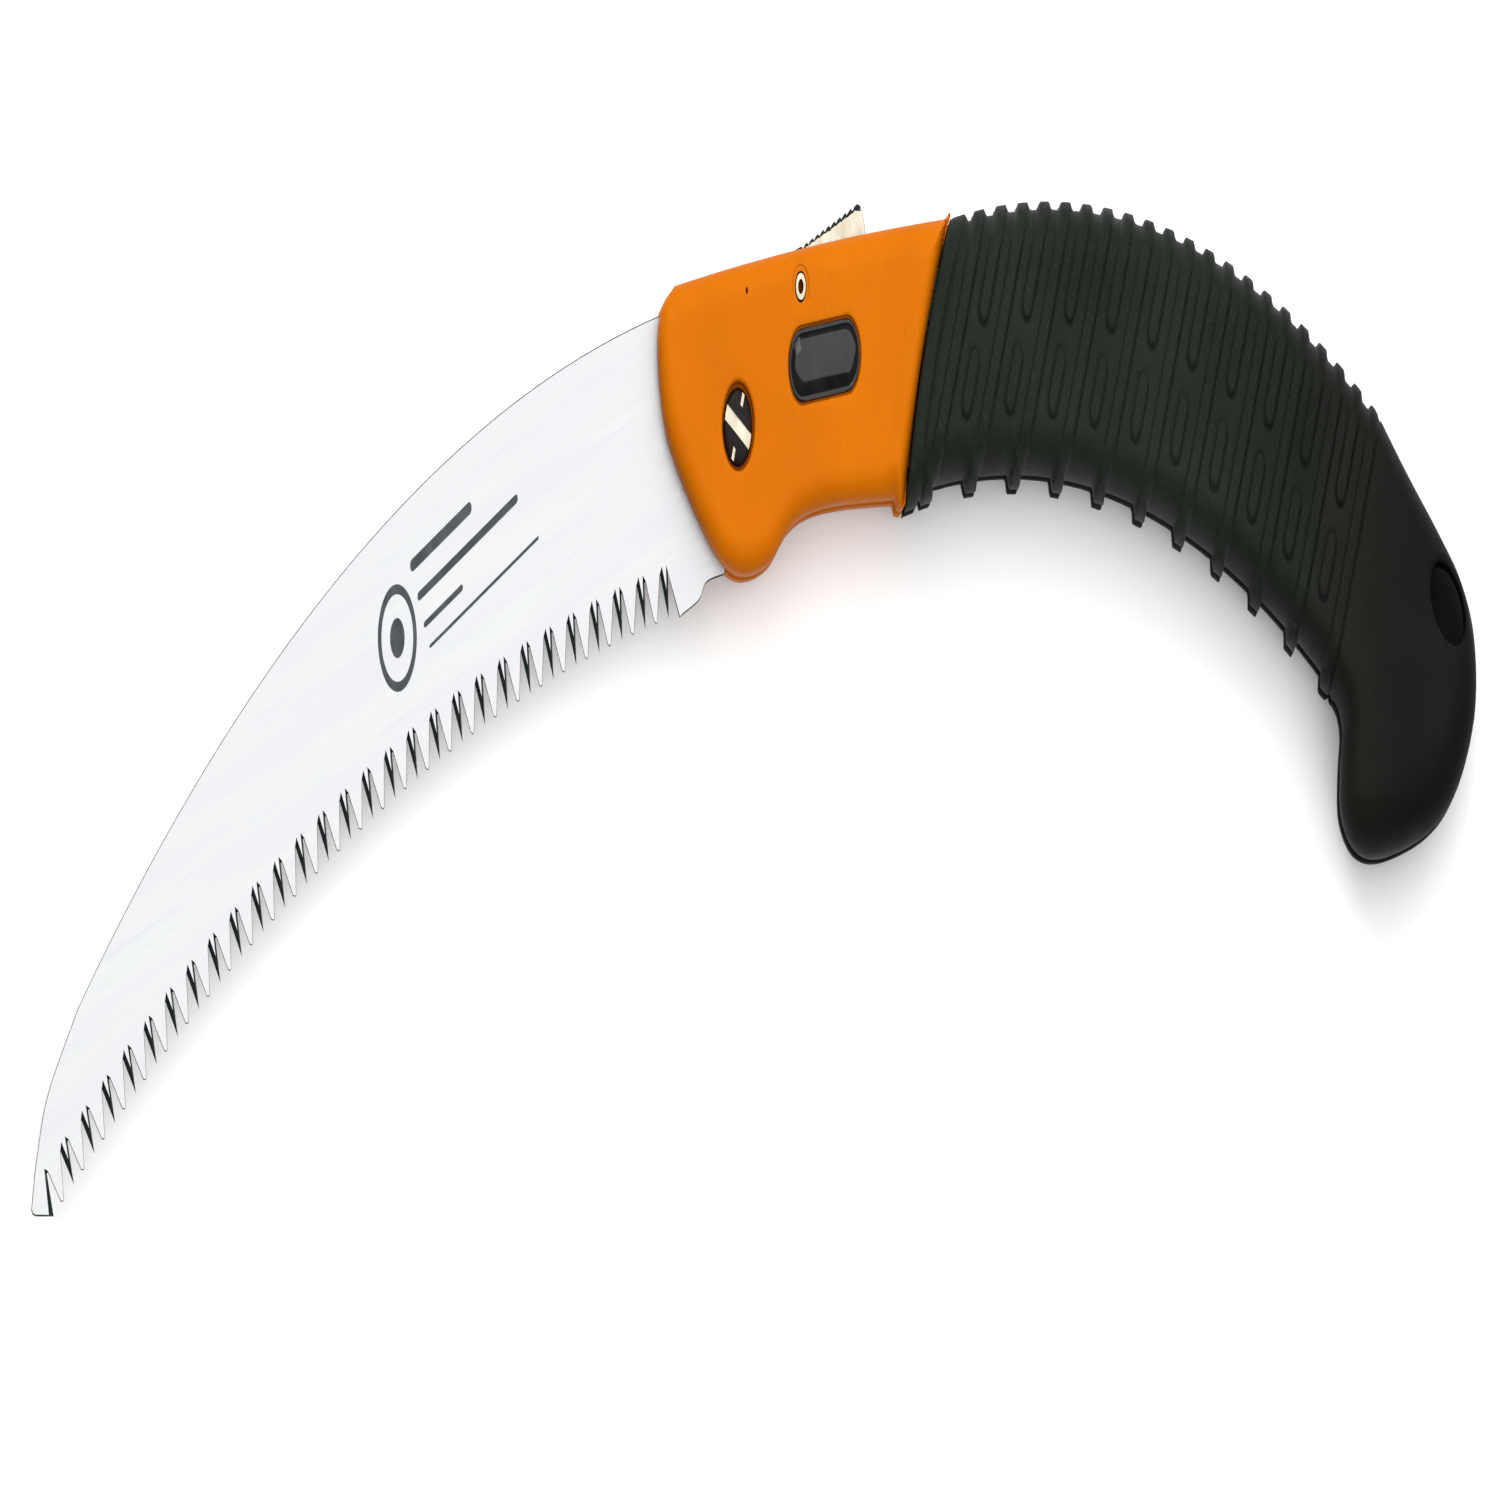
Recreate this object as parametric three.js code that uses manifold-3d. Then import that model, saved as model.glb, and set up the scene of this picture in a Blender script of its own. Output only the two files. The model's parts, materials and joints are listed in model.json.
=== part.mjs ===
// A folding pruning saw, lying open on its side, in millimetres with Z up.
//
// The design is drawn around the blade's pivot: X runs from the blade's tip to the pommel,
// Y runs from the teeth to the spine, and Z runs across the saw, from the far cheek to the
// near one. At the end the whole saw is lifted so that it lies on Z = 0, with the origin
// under the middle of its outline.
//
// The handle is two half shells with a slot between them. The blade turns in the slot on a
// bushing, and a rocking lever stands over its tang.
import * as THREE from 'three';
import { mergeVertices } from 'three/addons/utils/BufferGeometryUtils.js';
import Module from 'manifold-3d';

const wasm = await Module();
wasm.setup();

// ---- Driving dimensions ----
const clearance = 0.3;            // between pieces that touch or turn on each other

// blade
const bladeThickness = 1.3;
const bladeBackRadius = 418.8;    // convex back
const bladeBackCentreX = 40;
const toothLineRadius = 590.6;    // concave line through the tooth tips
const toothLineCentreX = 69.6;
const toothLineCentreY = -605.6;
const toothLineStartX = -22;      // heel end of the teeth
const toothLineEndX = -224;       // tip end of the teeth
const toothPairPitch = 7.7;       // one narrow tooth and one wide tooth
const toothDepth = 5.5;
const tipWidth = 7.4;
const tangRadius = 14.5;
const tangShoulder = 17.1;        // height of the blade's back where it meets the stop pin
const notchWidth = 4;
const notchDepth = 2.4;
const foldAngle = 154;            // degrees from open to folded

// pivot
const bushingRadius = 4;
const bushingWall = 0.9;
const washerThickness = 0.5;
const washerRadius = 9;
const pivotHeadRadius = 4.7;
const pivotHeadHeight = 2.4;
const pivotSlotWidth = 1.5;
const pivotSlotAngle = -25;       // degrees, as the screw stands when tight
const recessDepth = 3.2;

// handle
const headHalfThickness = 9.5;
const gripHalfThickness = 13;
const gripSlotHalf = 2.2;
const linerThickness = 1.5;
const linerOverlap = 20;          // the slot widens this far in front of the liners' ends
const linerInset = 1.4;           // from the shell's edge to the liner's edge
const linerEndX = 79;
const headEdgeRadius = 2.2;
const gripEdgeWidth = 3.6;        // the grip's rounded edge, in from the outline
const gripEdgeDrop = 6.5;         // and down from the cheek
const spineRadius = 244.6;
const spineStartX = 71;           // where the rubber meets the head along the spine
const spineStartY = 25.1;
const gripLength = 141.8;         // along the spine, from the head to the last rib
const gripHeight = 37.4;          // from spine to belly at the last rib
const bellySag = 10.9;
const coreInset = 4;              // thickness of the rubber round the core's edge
const coreHalfThickness = 8.6;
const collarWidth = 3;            // the head's flared rim in front of the rubber
const ribHeight = 0.9;
const ribWidth = 3.4;
const ribPitch = 7.2;             // along the spine, at the front
const ribCrowding = 0.027;        // how the pitch closes up towards the pommel
const ribLean = 26.7;             // degrees from the Y axis
const ribCount = 21;
const firstRibOffset = 8.6;       // along the spine from the front of the rubber
const shortRibLength = 16.2;
const padOffset = 24.2;           // from the spine to the middle of an oval pad
const padLength = 9;
const lanyardLong = 6.5;          // half lengths of the oval lanyard eye
const lanyardShort = 4.2;
const lanyardWall = 2;            // of rubber, round the eye
const lanyardAngle = -33;         // degrees

// spine spacer and its screws
const spacerDepth = 7;            // from its outer to its inner edge
const spacerInset = 2.2;          // below the spine
const screwRadius = 1.5;
const screwHeadRadius = 2.8;
const screwHeadHeight = 2;
const screwReach = 6;             // into the near core, from the middle of the saw
const screwPlaces = [18, 70, 122];   // along the spine from the front of the rubber

// lock lever
const leverPinX = 20.6;
const leverPinY = 16.6;
const leverPinRadius = 1.6;
const leverPinBore = 0.9;
const leverPadHalfWidth = 3.2;
const noseAngle = 62;             // where the nose stands over the tang, in degrees
const noseWidth = 3.2;
const leverBossRadius = 3.6;
const serrationCount = 7;
const stopPinX = 2.9;
const stopPinY = 16.1;
const stopPinRadius = 0.8;
const stopPinReach = 6.4;         // each way from the middle, blind in the shells
const stopPinVent = 0.4;          // radius of the drilling over each end
const springPinX = 47;
const springPinY = 12;
const springPinRadius = 1.3;
const springThickness = 0.6;

// badge
const badgeX = 28.3;
const badgeY = 7.85;
const badgeLength = 23.4;
const badgeHeight = 8.8;
const badgeTilt = 5;              // degrees
const badgeRecess = 1.1;

// ---- Sizes that follow from the driving dimensions ----
const wide = 400;               // beyond the saw's ends and sides, for cutters
const tall = 50;                 // beyond its cheeks
const washerInnerZ = bladeThickness / 2 + clearance;
const headSlotHalf = washerInnerZ + washerThickness + clearance;
const linerOuterZ = headSlotHalf + linerThickness;
const plateHalf = headSlotHalf - clearance;
const bushingBore = bushingRadius - bushingWall;
const pivotShankRadius = bushingBore - clearance;
const recessFloorZ = headHalfThickness - recessDepth;
const bladeBackCentreY = tangShoulder
  - Math.sqrt(bladeBackRadius ** 2 - (stopPinX - stopPinRadius - clearance - bladeBackCentreX) ** 2);
const noseReach = tangRadius + clearance;
const noseRoot = tangRadius + 3.5;

// ---- Materials ----
const steel = () => new THREE.MeshStandardMaterial({ color: 0xd5d8da, roughness: 0.32, metalness: 1 });
const nickel = () => new THREE.MeshStandardMaterial({ color: 0xcfc9bb, roughness: 0.28, metalness: 1 });
const zinc = () => new THREE.MeshStandardMaterial({ color: 0xa4a8ab, roughness: 0.42, metalness: 1 });
const springSteel = () => new THREE.MeshStandardMaterial({ color: 0x6d7074, roughness: 0.4, metalness: 1 });
const bronze = () => new THREE.MeshStandardMaterial({ color: 0xa5793f, roughness: 0.45, metalness: 1 });
const orange = () => new THREE.MeshStandardMaterial({ color: 0xe87c0a, roughness: 0.42, metalness: 0 });
const rubber = () => new THREE.MeshStandardMaterial({ color: 0x2b302a, roughness: 0.75, metalness: 0 });
const blackGloss = () => new THREE.MeshStandardMaterial({ color: 0x101014, roughness: 0.12, metalness: 0 });
const black = () => new THREE.MeshStandardMaterial({ color: 0x1c1e1d, roughness: 0.55, metalness: 0 });

// ---- Plane geometry ----
const degrees = (value) => value * Math.PI / 180;
const point = (x, y) => new THREE.Vector2(x, y);
const polar = (radius, angle) => point(radius * Math.cos(degrees(angle)), radius * Math.sin(degrees(angle)));

// Points on the arc round a centre, both ends included.
function arc(centre, radius, fromAngle, toAngle, steps) {
  const points = [];
  for (let i = 0; i <= steps; i += 1) {
    points.push(polar(radius, fromAngle + (toAngle - fromAngle) * i / steps).add(centre));
  }
  return points;
}

// Points from one place to another on an arc that stands `sag` to the left of the chord.
function bow(from, to, sag, steps) {
  const half = to.clone().sub(from).multiplyScalar(0.5);
  const left = point(-half.y, half.x).normalize();
  const radius = (half.lengthSq() + sag * sag) / (2 * Math.abs(sag));
  const sweep = 2 * Math.asin(Math.min(1, half.length() / radius));
  const centre = from.clone().add(half).addScaledVector(left, sag - Math.sign(sag) * radius);
  const start = from.clone().sub(centre);
  const points = [];
  for (let i = 0; i <= steps; i += 1) {
    points.push(start.clone().rotateAround(point(0, 0), -Math.sign(sag) * sweep * i / steps).add(centre));
  }
  return points;
}

// A smooth line through hand-placed points.
const smooth = (points, steps) => new THREE.SplineCurve(points).getPoints(steps);

// Drops points that stand closer than the least step to the one before.
function thin(points, leastStep) {
  const kept = points.filter((p, i) => i === 0 || p.distanceTo(points[i - 1]) > leastStep);
  if (kept[0].distanceTo(kept[kept.length - 1]) < leastStep) {
    kept.pop();
  }
  return kept;
}

// A long rounded bar outline, between the middles of its two round ends.
function capsule(from, to, width, steps) {
  const heading = Math.atan2(to.y - from.y, to.x - from.x) * 180 / Math.PI;
  return [
    ...arc(to, width / 2, heading - 90, heading + 90, steps),
    ...arc(from, width / 2, heading + 90, heading + 270, steps),
  ];
}

// ---- Solids ----
function toSolid(geometry) {
  const bare = geometry.index ? geometry.toNonIndexed() : geometry.clone();
  bare.deleteAttribute('normal');
  bare.deleteAttribute('uv');
  const merged = mergeVertices(bare, 1e-4);
  return new wasm.Manifold(new wasm.Mesh({
    numProp: 3,
    vertProperties: new Float32Array(merged.attributes.position.array),
    triVerts: new Uint32Array(merged.index.array),
  }));
}

function toGeometry(solid) {
  const mesh = solid.getMesh();
  const geometry = new THREE.BufferGeometry();
  geometry.setAttribute('position', new THREE.BufferAttribute(mesh.vertProperties, 3));
  geometry.setIndex(new THREE.BufferAttribute(mesh.triVerts, 1));
  geometry.computeVertexNormals();
  return geometry;
}

// A flat plate between two heights, with round-cornered holes given as outlines.
function plate(outline, lowZ, highZ, holes = []) {
  const shape = new THREE.Shape(outline);
  shape.holes = holes.map((hole) => new THREE.Path(hole));
  const geometry = new THREE.ExtrudeGeometry(shape, { depth: highZ - lowZ, bevelEnabled: false });
  geometry.translate(0, 0, lowZ);
  return toSolid(geometry);
}

// A plate as thick as twice its half thickness, with both edges rounded over.
function roundedPlate(outline, half, edge, drop, segments) {
  const geometry = new THREE.ExtrudeGeometry(new THREE.Shape(outline), {
    depth: 2 * (half - drop),
    bevelThickness: drop,
    bevelSize: edge,
    bevelOffset: -edge,
    bevelSegments: segments,
  });
  geometry.translate(0, 0, drop - half);
  return toSolid(geometry);
}

// A round pin along Z.
function pin(x, y, radius, lowZ, highZ, sides = 24) {
  const geometry = new THREE.CylinderGeometry(radius, radius, highZ - lowZ, sides);
  geometry.rotateX(Math.PI / 2);
  geometry.translate(x, y, (lowZ + highZ) / 2);
  return toSolid(geometry);
}

// A solid turned about the Z axis from (radius, height) pairs of a closed profile.
function turned(x, y, profile, sides = 28) {
  const geometry = new THREE.LatheGeometry(profile.map(([r, h]) => point(r, h)), sides);
  geometry.rotateX(Math.PI / 2);
  geometry.translate(x, y, 0);
  return toSolid(geometry);
}

// A straight-sided box.
function box(lowX, highX, lowY, highY, lowZ, highZ) {
  const geometry = new THREE.BoxGeometry(highX - lowX, highY - lowY, highZ - lowZ);
  geometry.translate((lowX + highX) / 2, (lowY + highY) / 2, (lowZ + highZ) / 2);
  return toSolid(geometry);
}

const joined = (solids) => solids.reduce((all, solid) => all.add(solid));
const cutBy = (solid, tools) => tools.reduce((rest, tool) => rest.subtract(tool), solid);

// The same solid on the other side of the middle plane.
function mirrored(solid) {
  const mesh = solid.getMesh();
  const vertProperties = mesh.vertProperties.map((value, i) => (i % 3 === 2 ? -value : value));
  const triVerts = mesh.triVerts.slice();
  for (let i = 0; i < triVerts.length; i += 3) {
    [triVerts[i], triVerts[i + 1]] = [triVerts[i + 1], triVerts[i]];
  }
  return new wasm.Manifold(new wasm.Mesh({ numProp: 3, vertProperties, triVerts }));
}

const onSide = (side, solid) => (side > 0 ? solid : mirrored(solid));

// ---- The grip's curve ----
const spineCentre = (() => {
  const offset = spineStartX - 101.8;
  return point(spineStartX - offset, spineStartY - Math.sqrt(spineRadius ** 2 - offset ** 2));
})();
const spineStartAngle = Math.atan2(spineStartY - spineCentre.y, spineStartX - spineCentre.x) * 180 / Math.PI;

// A point a given way along the spine and a given depth below it.
function onSpine(distance, depth = 0) {
  const angle = spineStartAngle - distance / spineRadius * 180 / Math.PI;
  return polar(spineRadius - depth, angle).add(spineCentre);
}

// A point given by distances along and out from the end of the spine.
function beyondSpine(along, out) {
  const end = onSpine(gripLength);
  const outward = end.clone().sub(spineCentre).normalize();
  return end.addScaledVector(outward, out).addScaledVector(point(outward.y, -outward.x), along);
}

// ---- Outlines ----
const headFootX = 54.8;
const headFootY = -8.2;
const gripFootY = -9.8;
const bellyEnd = beyondSpine(-0.5, -gripHeight);

// The head, seen from the near side, drawn clockwise from its nose. Its rear end runs on
// inside the grip.
const headOutline = () => thin([
  ...bow(point(-20.5, 16.9), point(spineStartX, spineStartY), 0.7, 8),
  point(linerEndX + linerInset, spineStartY - 2), point(linerEndX + linerInset, headFootY + 2),
  ...smooth([
    point(headFootX, headFootY), point(34.5, -8.9), point(24, -9.9), point(17, -11.9), point(10.4, -16),
    point(1.2, -17.4), point(-6.5, -15), point(-15.4, -8.4), point(-22.9, -0.6), point(-25.6, 8),
    point(-24.8, 14), point(-20.5, 16.9),
  ], 34),
], 0.2);

// The smooth pommel with its hooked front, from the spine's end to the belly's end.
const pommelLine = () => smooth([
  beyondSpine(0, 0), beyondSpine(12, -2.2), beyondSpine(25.2, -4.2), beyondSpine(34.3, -6.2),
  beyondSpine(41, -10.4), beyondSpine(45, -18.5), beyondSpine(43.6, -29), beyondSpine(37.5, -37.6),
  beyondSpine(25.5, -46.7), beyondSpine(17.2, -50), beyondSpine(11, -48.4), beyondSpine(8.2, -43.4),
  beyondSpine(6.8, -38.9), beyondSpine(3.8, -37), bellyEnd,
], 34);

// The grip, drawn clockwise from its front, which runs on inside the head.
const gripOutline = () => thin([
  point(headFootX - 12, gripFootY + 1.8), point(headFootX - 12, spineStartY - 2),
  ...Array.from({ length: 19 }, (_, i) => onSpine(gripLength * i / 18)),
  ...pommelLine(),
  ...bow(bellyEnd, point(headFootX, gripFootY), -bellySag, 12),
], 0.2);

// How far a place is from the nearest edge of an outline.
function distanceTo(outline, p) {
  return Math.min(...outline.map((from, i) => {
    const to = outline[(i + 1) % outline.length];
    const span = to.clone().sub(from);
    const share = THREE.MathUtils.clamp(p.clone().sub(from).dot(span) / span.lengthSq(), 0, 1);
    return p.distanceTo(from.clone().addScaledVector(span, share));
  }));
}

// An outline moved inwards by its own normals. Points that a tight corner brings too near
// another edge are dropped.
function inset(outline, distance) {
  const count = outline.length;
  const turn = Math.sign(THREE.ShapeUtils.area(outline));
  const moved = outline.map((p, i) => {
    const before = p.clone().sub(outline[(i + count - 1) % count]).normalize();
    const after = outline[(i + 1) % count].clone().sub(p).normalize();
    const along = before.clone().add(after).normalize();
    const stretch = distance * turn / Math.max(0.5, along.dot(after));
    return p.clone().addScaledVector(point(-along.y, along.x), stretch);
  });
  return thin(moved.filter((p) => distanceTo(outline, p) > Math.abs(distance) * 0.97), 0.2);
}

// The ground in front of the slanting line where the rubber starts, moved back by a gap.
function frontOfRubber(gap) {
  const line = bow(point(spineStartX + 6, spineStartY + 9), point(headFootX - 1.4, gripFootY - 7), -4.2, 10);
  return [point(-60, -60), point(-60, 60), ...line.map((p) => p.add(point(gap, 0)))];
}

// ---- Blade ----
// A place on the tooth line by its angle round the line's centre, and a depth into the blade.
const toothPoint = (angle, depth) => polar(toothLineRadius + depth, angle)
  .add(point(toothLineCentreX, toothLineCentreY));
const toothAngle = (x) => Math.acos((x - toothLineCentreX) / toothLineRadius) * 180 / Math.PI;

// Tooth tips and gullets from the heel to the tip. Each pair is a narrow pointed tooth and a
// wide one with a blunt end.
function toothLine() {
  const start = toothAngle(toothLineStartX);
  const sweep = toothAngle(toothLineEndX) - start;
  const pairs = Math.round(degrees(sweep) * toothLineRadius / toothPairPitch);
  const step = sweep / pairs;
  const marks = [[0, 0], [0.26, 1], [0.505, 0], [0.645, 0.07], [0.906, 1]];
  const points = [toothPoint(start - 0.094 * step, toothDepth)];
  for (let i = 0; i < pairs; i += 1) {
    const angle = start + step * i;
    marks.forEach(([share, depth]) => points.push(toothPoint(angle + step * share, depth * toothDepth)));
  }
  points.push(toothPoint(start + sweep, 0));
  return points;
}

// The tang's rim, with a notch for the lever's nose at each end of the blade's travel.
function tangRim() {
  const points = [];
  const halfNotch = notchWidth / 2 / tangRadius * 180 / Math.PI;
  const notch = (angle) => [
    polar(tangRadius, angle - halfNotch),
    polar(tangRadius - notchDepth, angle - halfNotch),
    polar(tangRadius - notchDepth, angle + halfNotch),
    polar(tangRadius, angle + halfNotch),
  ];
  const foldNotch = noseAngle - foldAngle;
  points.push(...notch(foldNotch));
  points.push(...arc(point(0, 0), tangRadius, foldNotch + 2 * halfNotch, noseAngle - 2 * halfNotch, 22));
  points.push(...notch(noseAngle));
  return points;
}

function bladeSolid() {
  const shoulderX = stopPinX - stopPinRadius - clearance;
  const backAngle = (x) => Math.acos((x - bladeBackCentreX) / bladeBackRadius) * 180 / Math.PI;
  const backCentre = point(bladeBackCentreX, bladeBackCentreY);
  const back = arc(backCentre, bladeBackRadius, backAngle(shoulderX), backAngle(toothLineEndX + 8), 40);
  const toothEnd = toothPoint(toothAngle(toothLineEndX), 0);
  const tipCorner = toothEnd.clone().add(point(-tipWidth, 0.8));
  const nose = smooth([
    back[back.length - 1],
    tipCorner.clone().add(point(5.8, 14)),
    tipCorner.clone().add(point(2, 6.6)),
    tipCorner,
  ], 8);
  const heel = [
    point(-18.5, -22), point(-12.2, -20), point(-9.7, -17.9), point(-3.8, -16.9), point(-3, -14.2),
  ];
  const outline = thin([
    ...back, ...nose, ...toothLine().reverse(), ...heel, ...tangRim(), point(shoulderX, tangRadius - 0.2),
  ], 0.05);
  const bore = arc(point(0, 0), bushingRadius + clearance, 0, 345, 23);
  return plate(outline, -bladeThickness / 2, bladeThickness / 2, [bore]);
}

// ---- Handle halves ----
// Room for the lever's wide thumb pad, between the two shells.
const padWell = () => plate(
  [point(12, 19), point(24, 18.9), point(47, 16.4), point(47, wide), point(12, wide)],
  -leverPadHalfWidth - clearance, leverPadHalfWidth + clearance,
);

// The liner's plate, which follows the head and then the core inside the rubber.
function linerPlate(grow, lowZ, highZ) {
  const whole = plate(inset(headOutline(), linerInset - grow), lowZ, highZ);
  const inHead = plate(frontOfRubber(grow - linerInset), -tall, tall);
  const inCore = plate(inset(gripOutline(), coreInset + linerInset - grow), -tall, tall);
  return whole.intersect(inHead.add(inCore)).subtract(box(linerEndX + grow, wide, -wide, wide, -tall, tall));
}

function linerSolid() {
  return cutBy(linerPlate(0, headSlotHalf, linerOuterZ), [
    pin(0, 0, pivotShankRadius + clearance, 0, tall),
    pin(leverPinX, leverPinY, leverPinRadius + clearance, 0, tall),
    pin(springPinX, springPinY, springPinRadius + clearance, 0, tall),
    pin(stopPinX, stopPinY, stopPinRadius + clearance, 0, tall),
    padWell(),
  ]);
}

// The shell's own body inside the rubber.
function coreSolid(grow) {
  const outline = inset(gripOutline(), coreInset - grow);
  return plate(outline, -coreHalfThickness - grow, coreHalfThickness + grow);
}

const badgeEnds = () => {
  const half = polar((badgeLength - badgeHeight) / 2, badgeTilt);
  return [point(badgeX, badgeY).sub(half), point(badgeX, badgeY).add(half)];
};

const lanyardCentre = () => beyondSpine(31.1, -11.1);

function lanyardHole(grow, lowZ, highZ) {
  const geometry = new THREE.CylinderGeometry(1, 1, highZ - lowZ, 24);
  geometry.rotateX(Math.PI / 2);
  geometry.scale(lanyardLong + grow, lanyardShort + grow, 1);
  geometry.rotateZ(degrees(lanyardAngle));
  geometry.translate(lanyardCentre().x, lanyardCentre().y, (lowZ + highZ) / 2);
  return toSolid(geometry);
}

function shellSolid(side) {
  const front = plate(frontOfRubber(0), -tall, tall);
  const head = roundedPlate(headOutline(), headHalfThickness, headEdgeRadius, headEdgeRadius, 3);
  const collar = roundedPlate(gripOutline(), gripHalfThickness - ribHeight, gripEdgeWidth, gripEdgeDrop, 3)
    .subtract(plate(frontOfRubber(-collarWidth), -tall, tall));
  const whole = joined([joined([head, collar]).intersect(front), coreSolid(0)]);
  const tools = [
    box(-wide, wide, -wide, wide, -tall, headSlotHalf),
    box(linerEndX - linerOverlap, wide, -wide, wide, -tall, gripSlotHalf),
    linerPlate(clearance, -tall, linerOuterZ + clearance),
    padWell(),
    pin(0, 0, pivotHeadRadius + 2 * clearance, recessFloorZ, tall, 32),
    pin(0, 0, pivotShankRadius + clearance, 0, tall),
    pin(leverPinX, leverPinY, leverPinRadius + clearance, 0, tall),
    pin(springPinX, springPinY, springPinRadius + clearance, 0, linerOuterZ + 2, 16),
    pin(stopPinX, stopPinY, stopPinRadius + clearance, 0, stopPinReach + clearance, 16),
    pin(stopPinX, stopPinY, stopPinVent, 0, tall, 12),
    plate(capsule(...badgeEnds(), badgeHeight + 2 * clearance, 6), headHalfThickness - badgeRecess, tall),
    ...screwPlaces.map((place) => screwBore(place, side)),
  ];
  if (side > 0) {
    tools.push(lanyardHole(lanyardWall, 0, tall));
  }
  return onSide(side, cutBy(whole, tools));
}

// A handle screw's bore in one half: through the far half, blind in the near one.
function screwBore(place, side) {
  const at = onSpine(place, spacerInset + spacerDepth / 2);
  const top = side > 0 ? screwReach + clearance : tall;
  return pin(at.x, at.y, screwRadius + clearance, 0, top, 16);
}

// Where a rib starts on the spine.
const ribStart = (i) => onSpine(firstRibOffset + ribPitch * i - ribCrowding * i * i);

// Each rib or pad as a tall bar.
function ribBars() {
  const down = polar(1, -90 - ribLean);
  const bars = [];
  for (let i = 0; i < ribCount; i += 1) {
    const start = ribStart(i).addScaledVector(down, -4);
    const reach = (length) => start.clone().addScaledVector(down, length + 4);
    if (i % 2 === 0) {
      bars.push(capsule(start, reach(60), ribWidth, 1));
    } else {
      bars.push(capsule(start, reach(shortRibLength - ribWidth / 2), ribWidth, 3));
      const half = (padLength - ribWidth) / 2;
      bars.push(capsule(reach(padOffset - half), reach(padOffset + half), ribWidth, 3));
    }
  }
  return bars.map((outline) => plate(outline, -tall, tall));
}

// The smooth ground behind the last rib.
function pommelGround() {
  const down = polar(1, -90 - ribLean);
  const top = ribStart(ribCount - 1).addScaledVector(down, -20);
  const bottom = top.clone().addScaledVector(down, 130);
  return plate([top, bottom, point(wide, bottom.y), point(wide, top.y)], -tall, tall);
}

// The smooth collar at the front of the rubber.
const rubberCollar = () => plate(frontOfRubber(4), -tall, tall);

function gripSolid(side) {
  const full = roundedPlate(gripOutline(), gripHalfThickness, gripEdgeWidth, gripEdgeDrop, 3);
  const low = roundedPlate(
    inset(gripOutline(), ribHeight),
    gripHalfThickness - ribHeight,
    gripEdgeWidth - ribHeight,
    gripEdgeDrop,
    2,
  );
  const raised = full.intersect(joined([...ribBars(), pommelGround(), rubberCollar()]));
  const tools = [
    plate(frontOfRubber(clearance), -tall, tall),
    box(-wide, wide, -wide, wide, -tall, gripSlotHalf),
    coreSolid(clearance),
  ];
  if (side < 0) {
    screwPlaces.forEach((place) => {
      const at = onSpine(place, spacerInset + spacerDepth / 2);
      tools.push(pin(at.x, at.y, screwHeadRadius + 2 * clearance, 0, tall, 20));
    });
  } else {
    tools.push(lanyardHole(0, 0, tall));
  }
  return onSide(side, cutBy(low.add(raised), tools));
}

// ---- Spine spacer and screws ----
function spacerSolid() {
  const length = gripLength - 8;
  const edge = (depth) => Array.from({ length: 17 }, (_, i) => onSpine(3 + (length - 3) * i / 16, depth));
  const outline = [...edge(spacerInset), ...edge(spacerInset + spacerDepth).reverse()];
  const bores = screwPlaces.map((place) => {
    const at = onSpine(place, spacerInset + spacerDepth / 2);
    return pin(at.x, at.y, screwRadius + clearance, -tall, tall, 16);
  });
  const half = gripSlotHalf - clearance;
  const frontHalf = headSlotHalf - clearance;
  const frontCut = [
    box(-wide, linerEndX + clearance, -wide, wide, frontHalf, tall),
    box(-wide, linerEndX + clearance, -wide, wide, -tall, -frontHalf),
  ];
  return cutBy(plate(outline, -half, half), [...bores, ...frontCut]);
}

function handleScrew(place) {
  const at = onSpine(place, spacerInset + spacerDepth / 2);
  const seat = -coreHalfThickness - clearance;
  const shank = pin(at.x, at.y, screwRadius, seat - 0.5, screwReach, 16);
  const head = pin(at.x, at.y, screwHeadRadius, seat - screwHeadHeight, seat, 20);
  const cross = [
    box(at.x - 2, at.x + 2, at.y - 0.4, at.y + 0.4, seat - 9, seat - screwHeadHeight / 2),
    box(at.x - 0.4, at.x + 0.4, at.y - 2, at.y + 2, seat - 9, seat - screwHeadHeight / 2),
  ];
  return cutBy(joined([shank, head]), cross);
}

// ---- Pivot ----
const bushing = () => turned(0, 0, [
  [bushingBore, -plateHalf], [bushingRadius, -plateHalf], [bushingRadius, plateHalf],
  [bushingBore, plateHalf], [bushingBore, -plateHalf],
]);

const thrustWasher = (side) => {
  const inner = bushingRadius + clearance;
  const top = washerInnerZ + washerThickness;
  return onSide(side, turned(0, 0, [
    [inner, washerInnerZ], [washerRadius, washerInnerZ],
    [washerRadius, top], [inner, top], [inner, washerInnerZ],
  ]));
};

// The slotted head, with a chamfered rim, and its slot.
function slottedHead(lowZ) {
  const top = lowZ + pivotHeadHeight;
  const disc = turned(0, 0, [
    [0, lowZ], [pivotHeadRadius, lowZ], [pivotHeadRadius, top - 0.6], [pivotHeadRadius - 0.6, top], [0, top],
  ]);
  const slot = new THREE.BoxGeometry(3 * pivotHeadRadius, pivotSlotWidth, 2);
  slot.rotateZ(degrees(pivotSlotAngle));
  slot.translate(0, 0, top);
  return disc.subtract(toSolid(slot));
}

function pivotScrew() {
  const seat = recessFloorZ + clearance;
  return joined([slottedHead(seat), pin(0, 0, pivotShankRadius, -recessFloorZ - 2, seat + 0.5)]);
}

// The far nut is a slotted head on a short sleeve, threaded on the screw.
function pivotNut() {
  const seat = recessFloorZ + clearance;
  const sleeve = pin(0, 0, pivotShankRadius + clearance, 0, recessFloorZ + 2 + clearance);
  const bored = slottedHead(seat).subtract(sleeve);
  return mirrored(bored);
}

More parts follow.
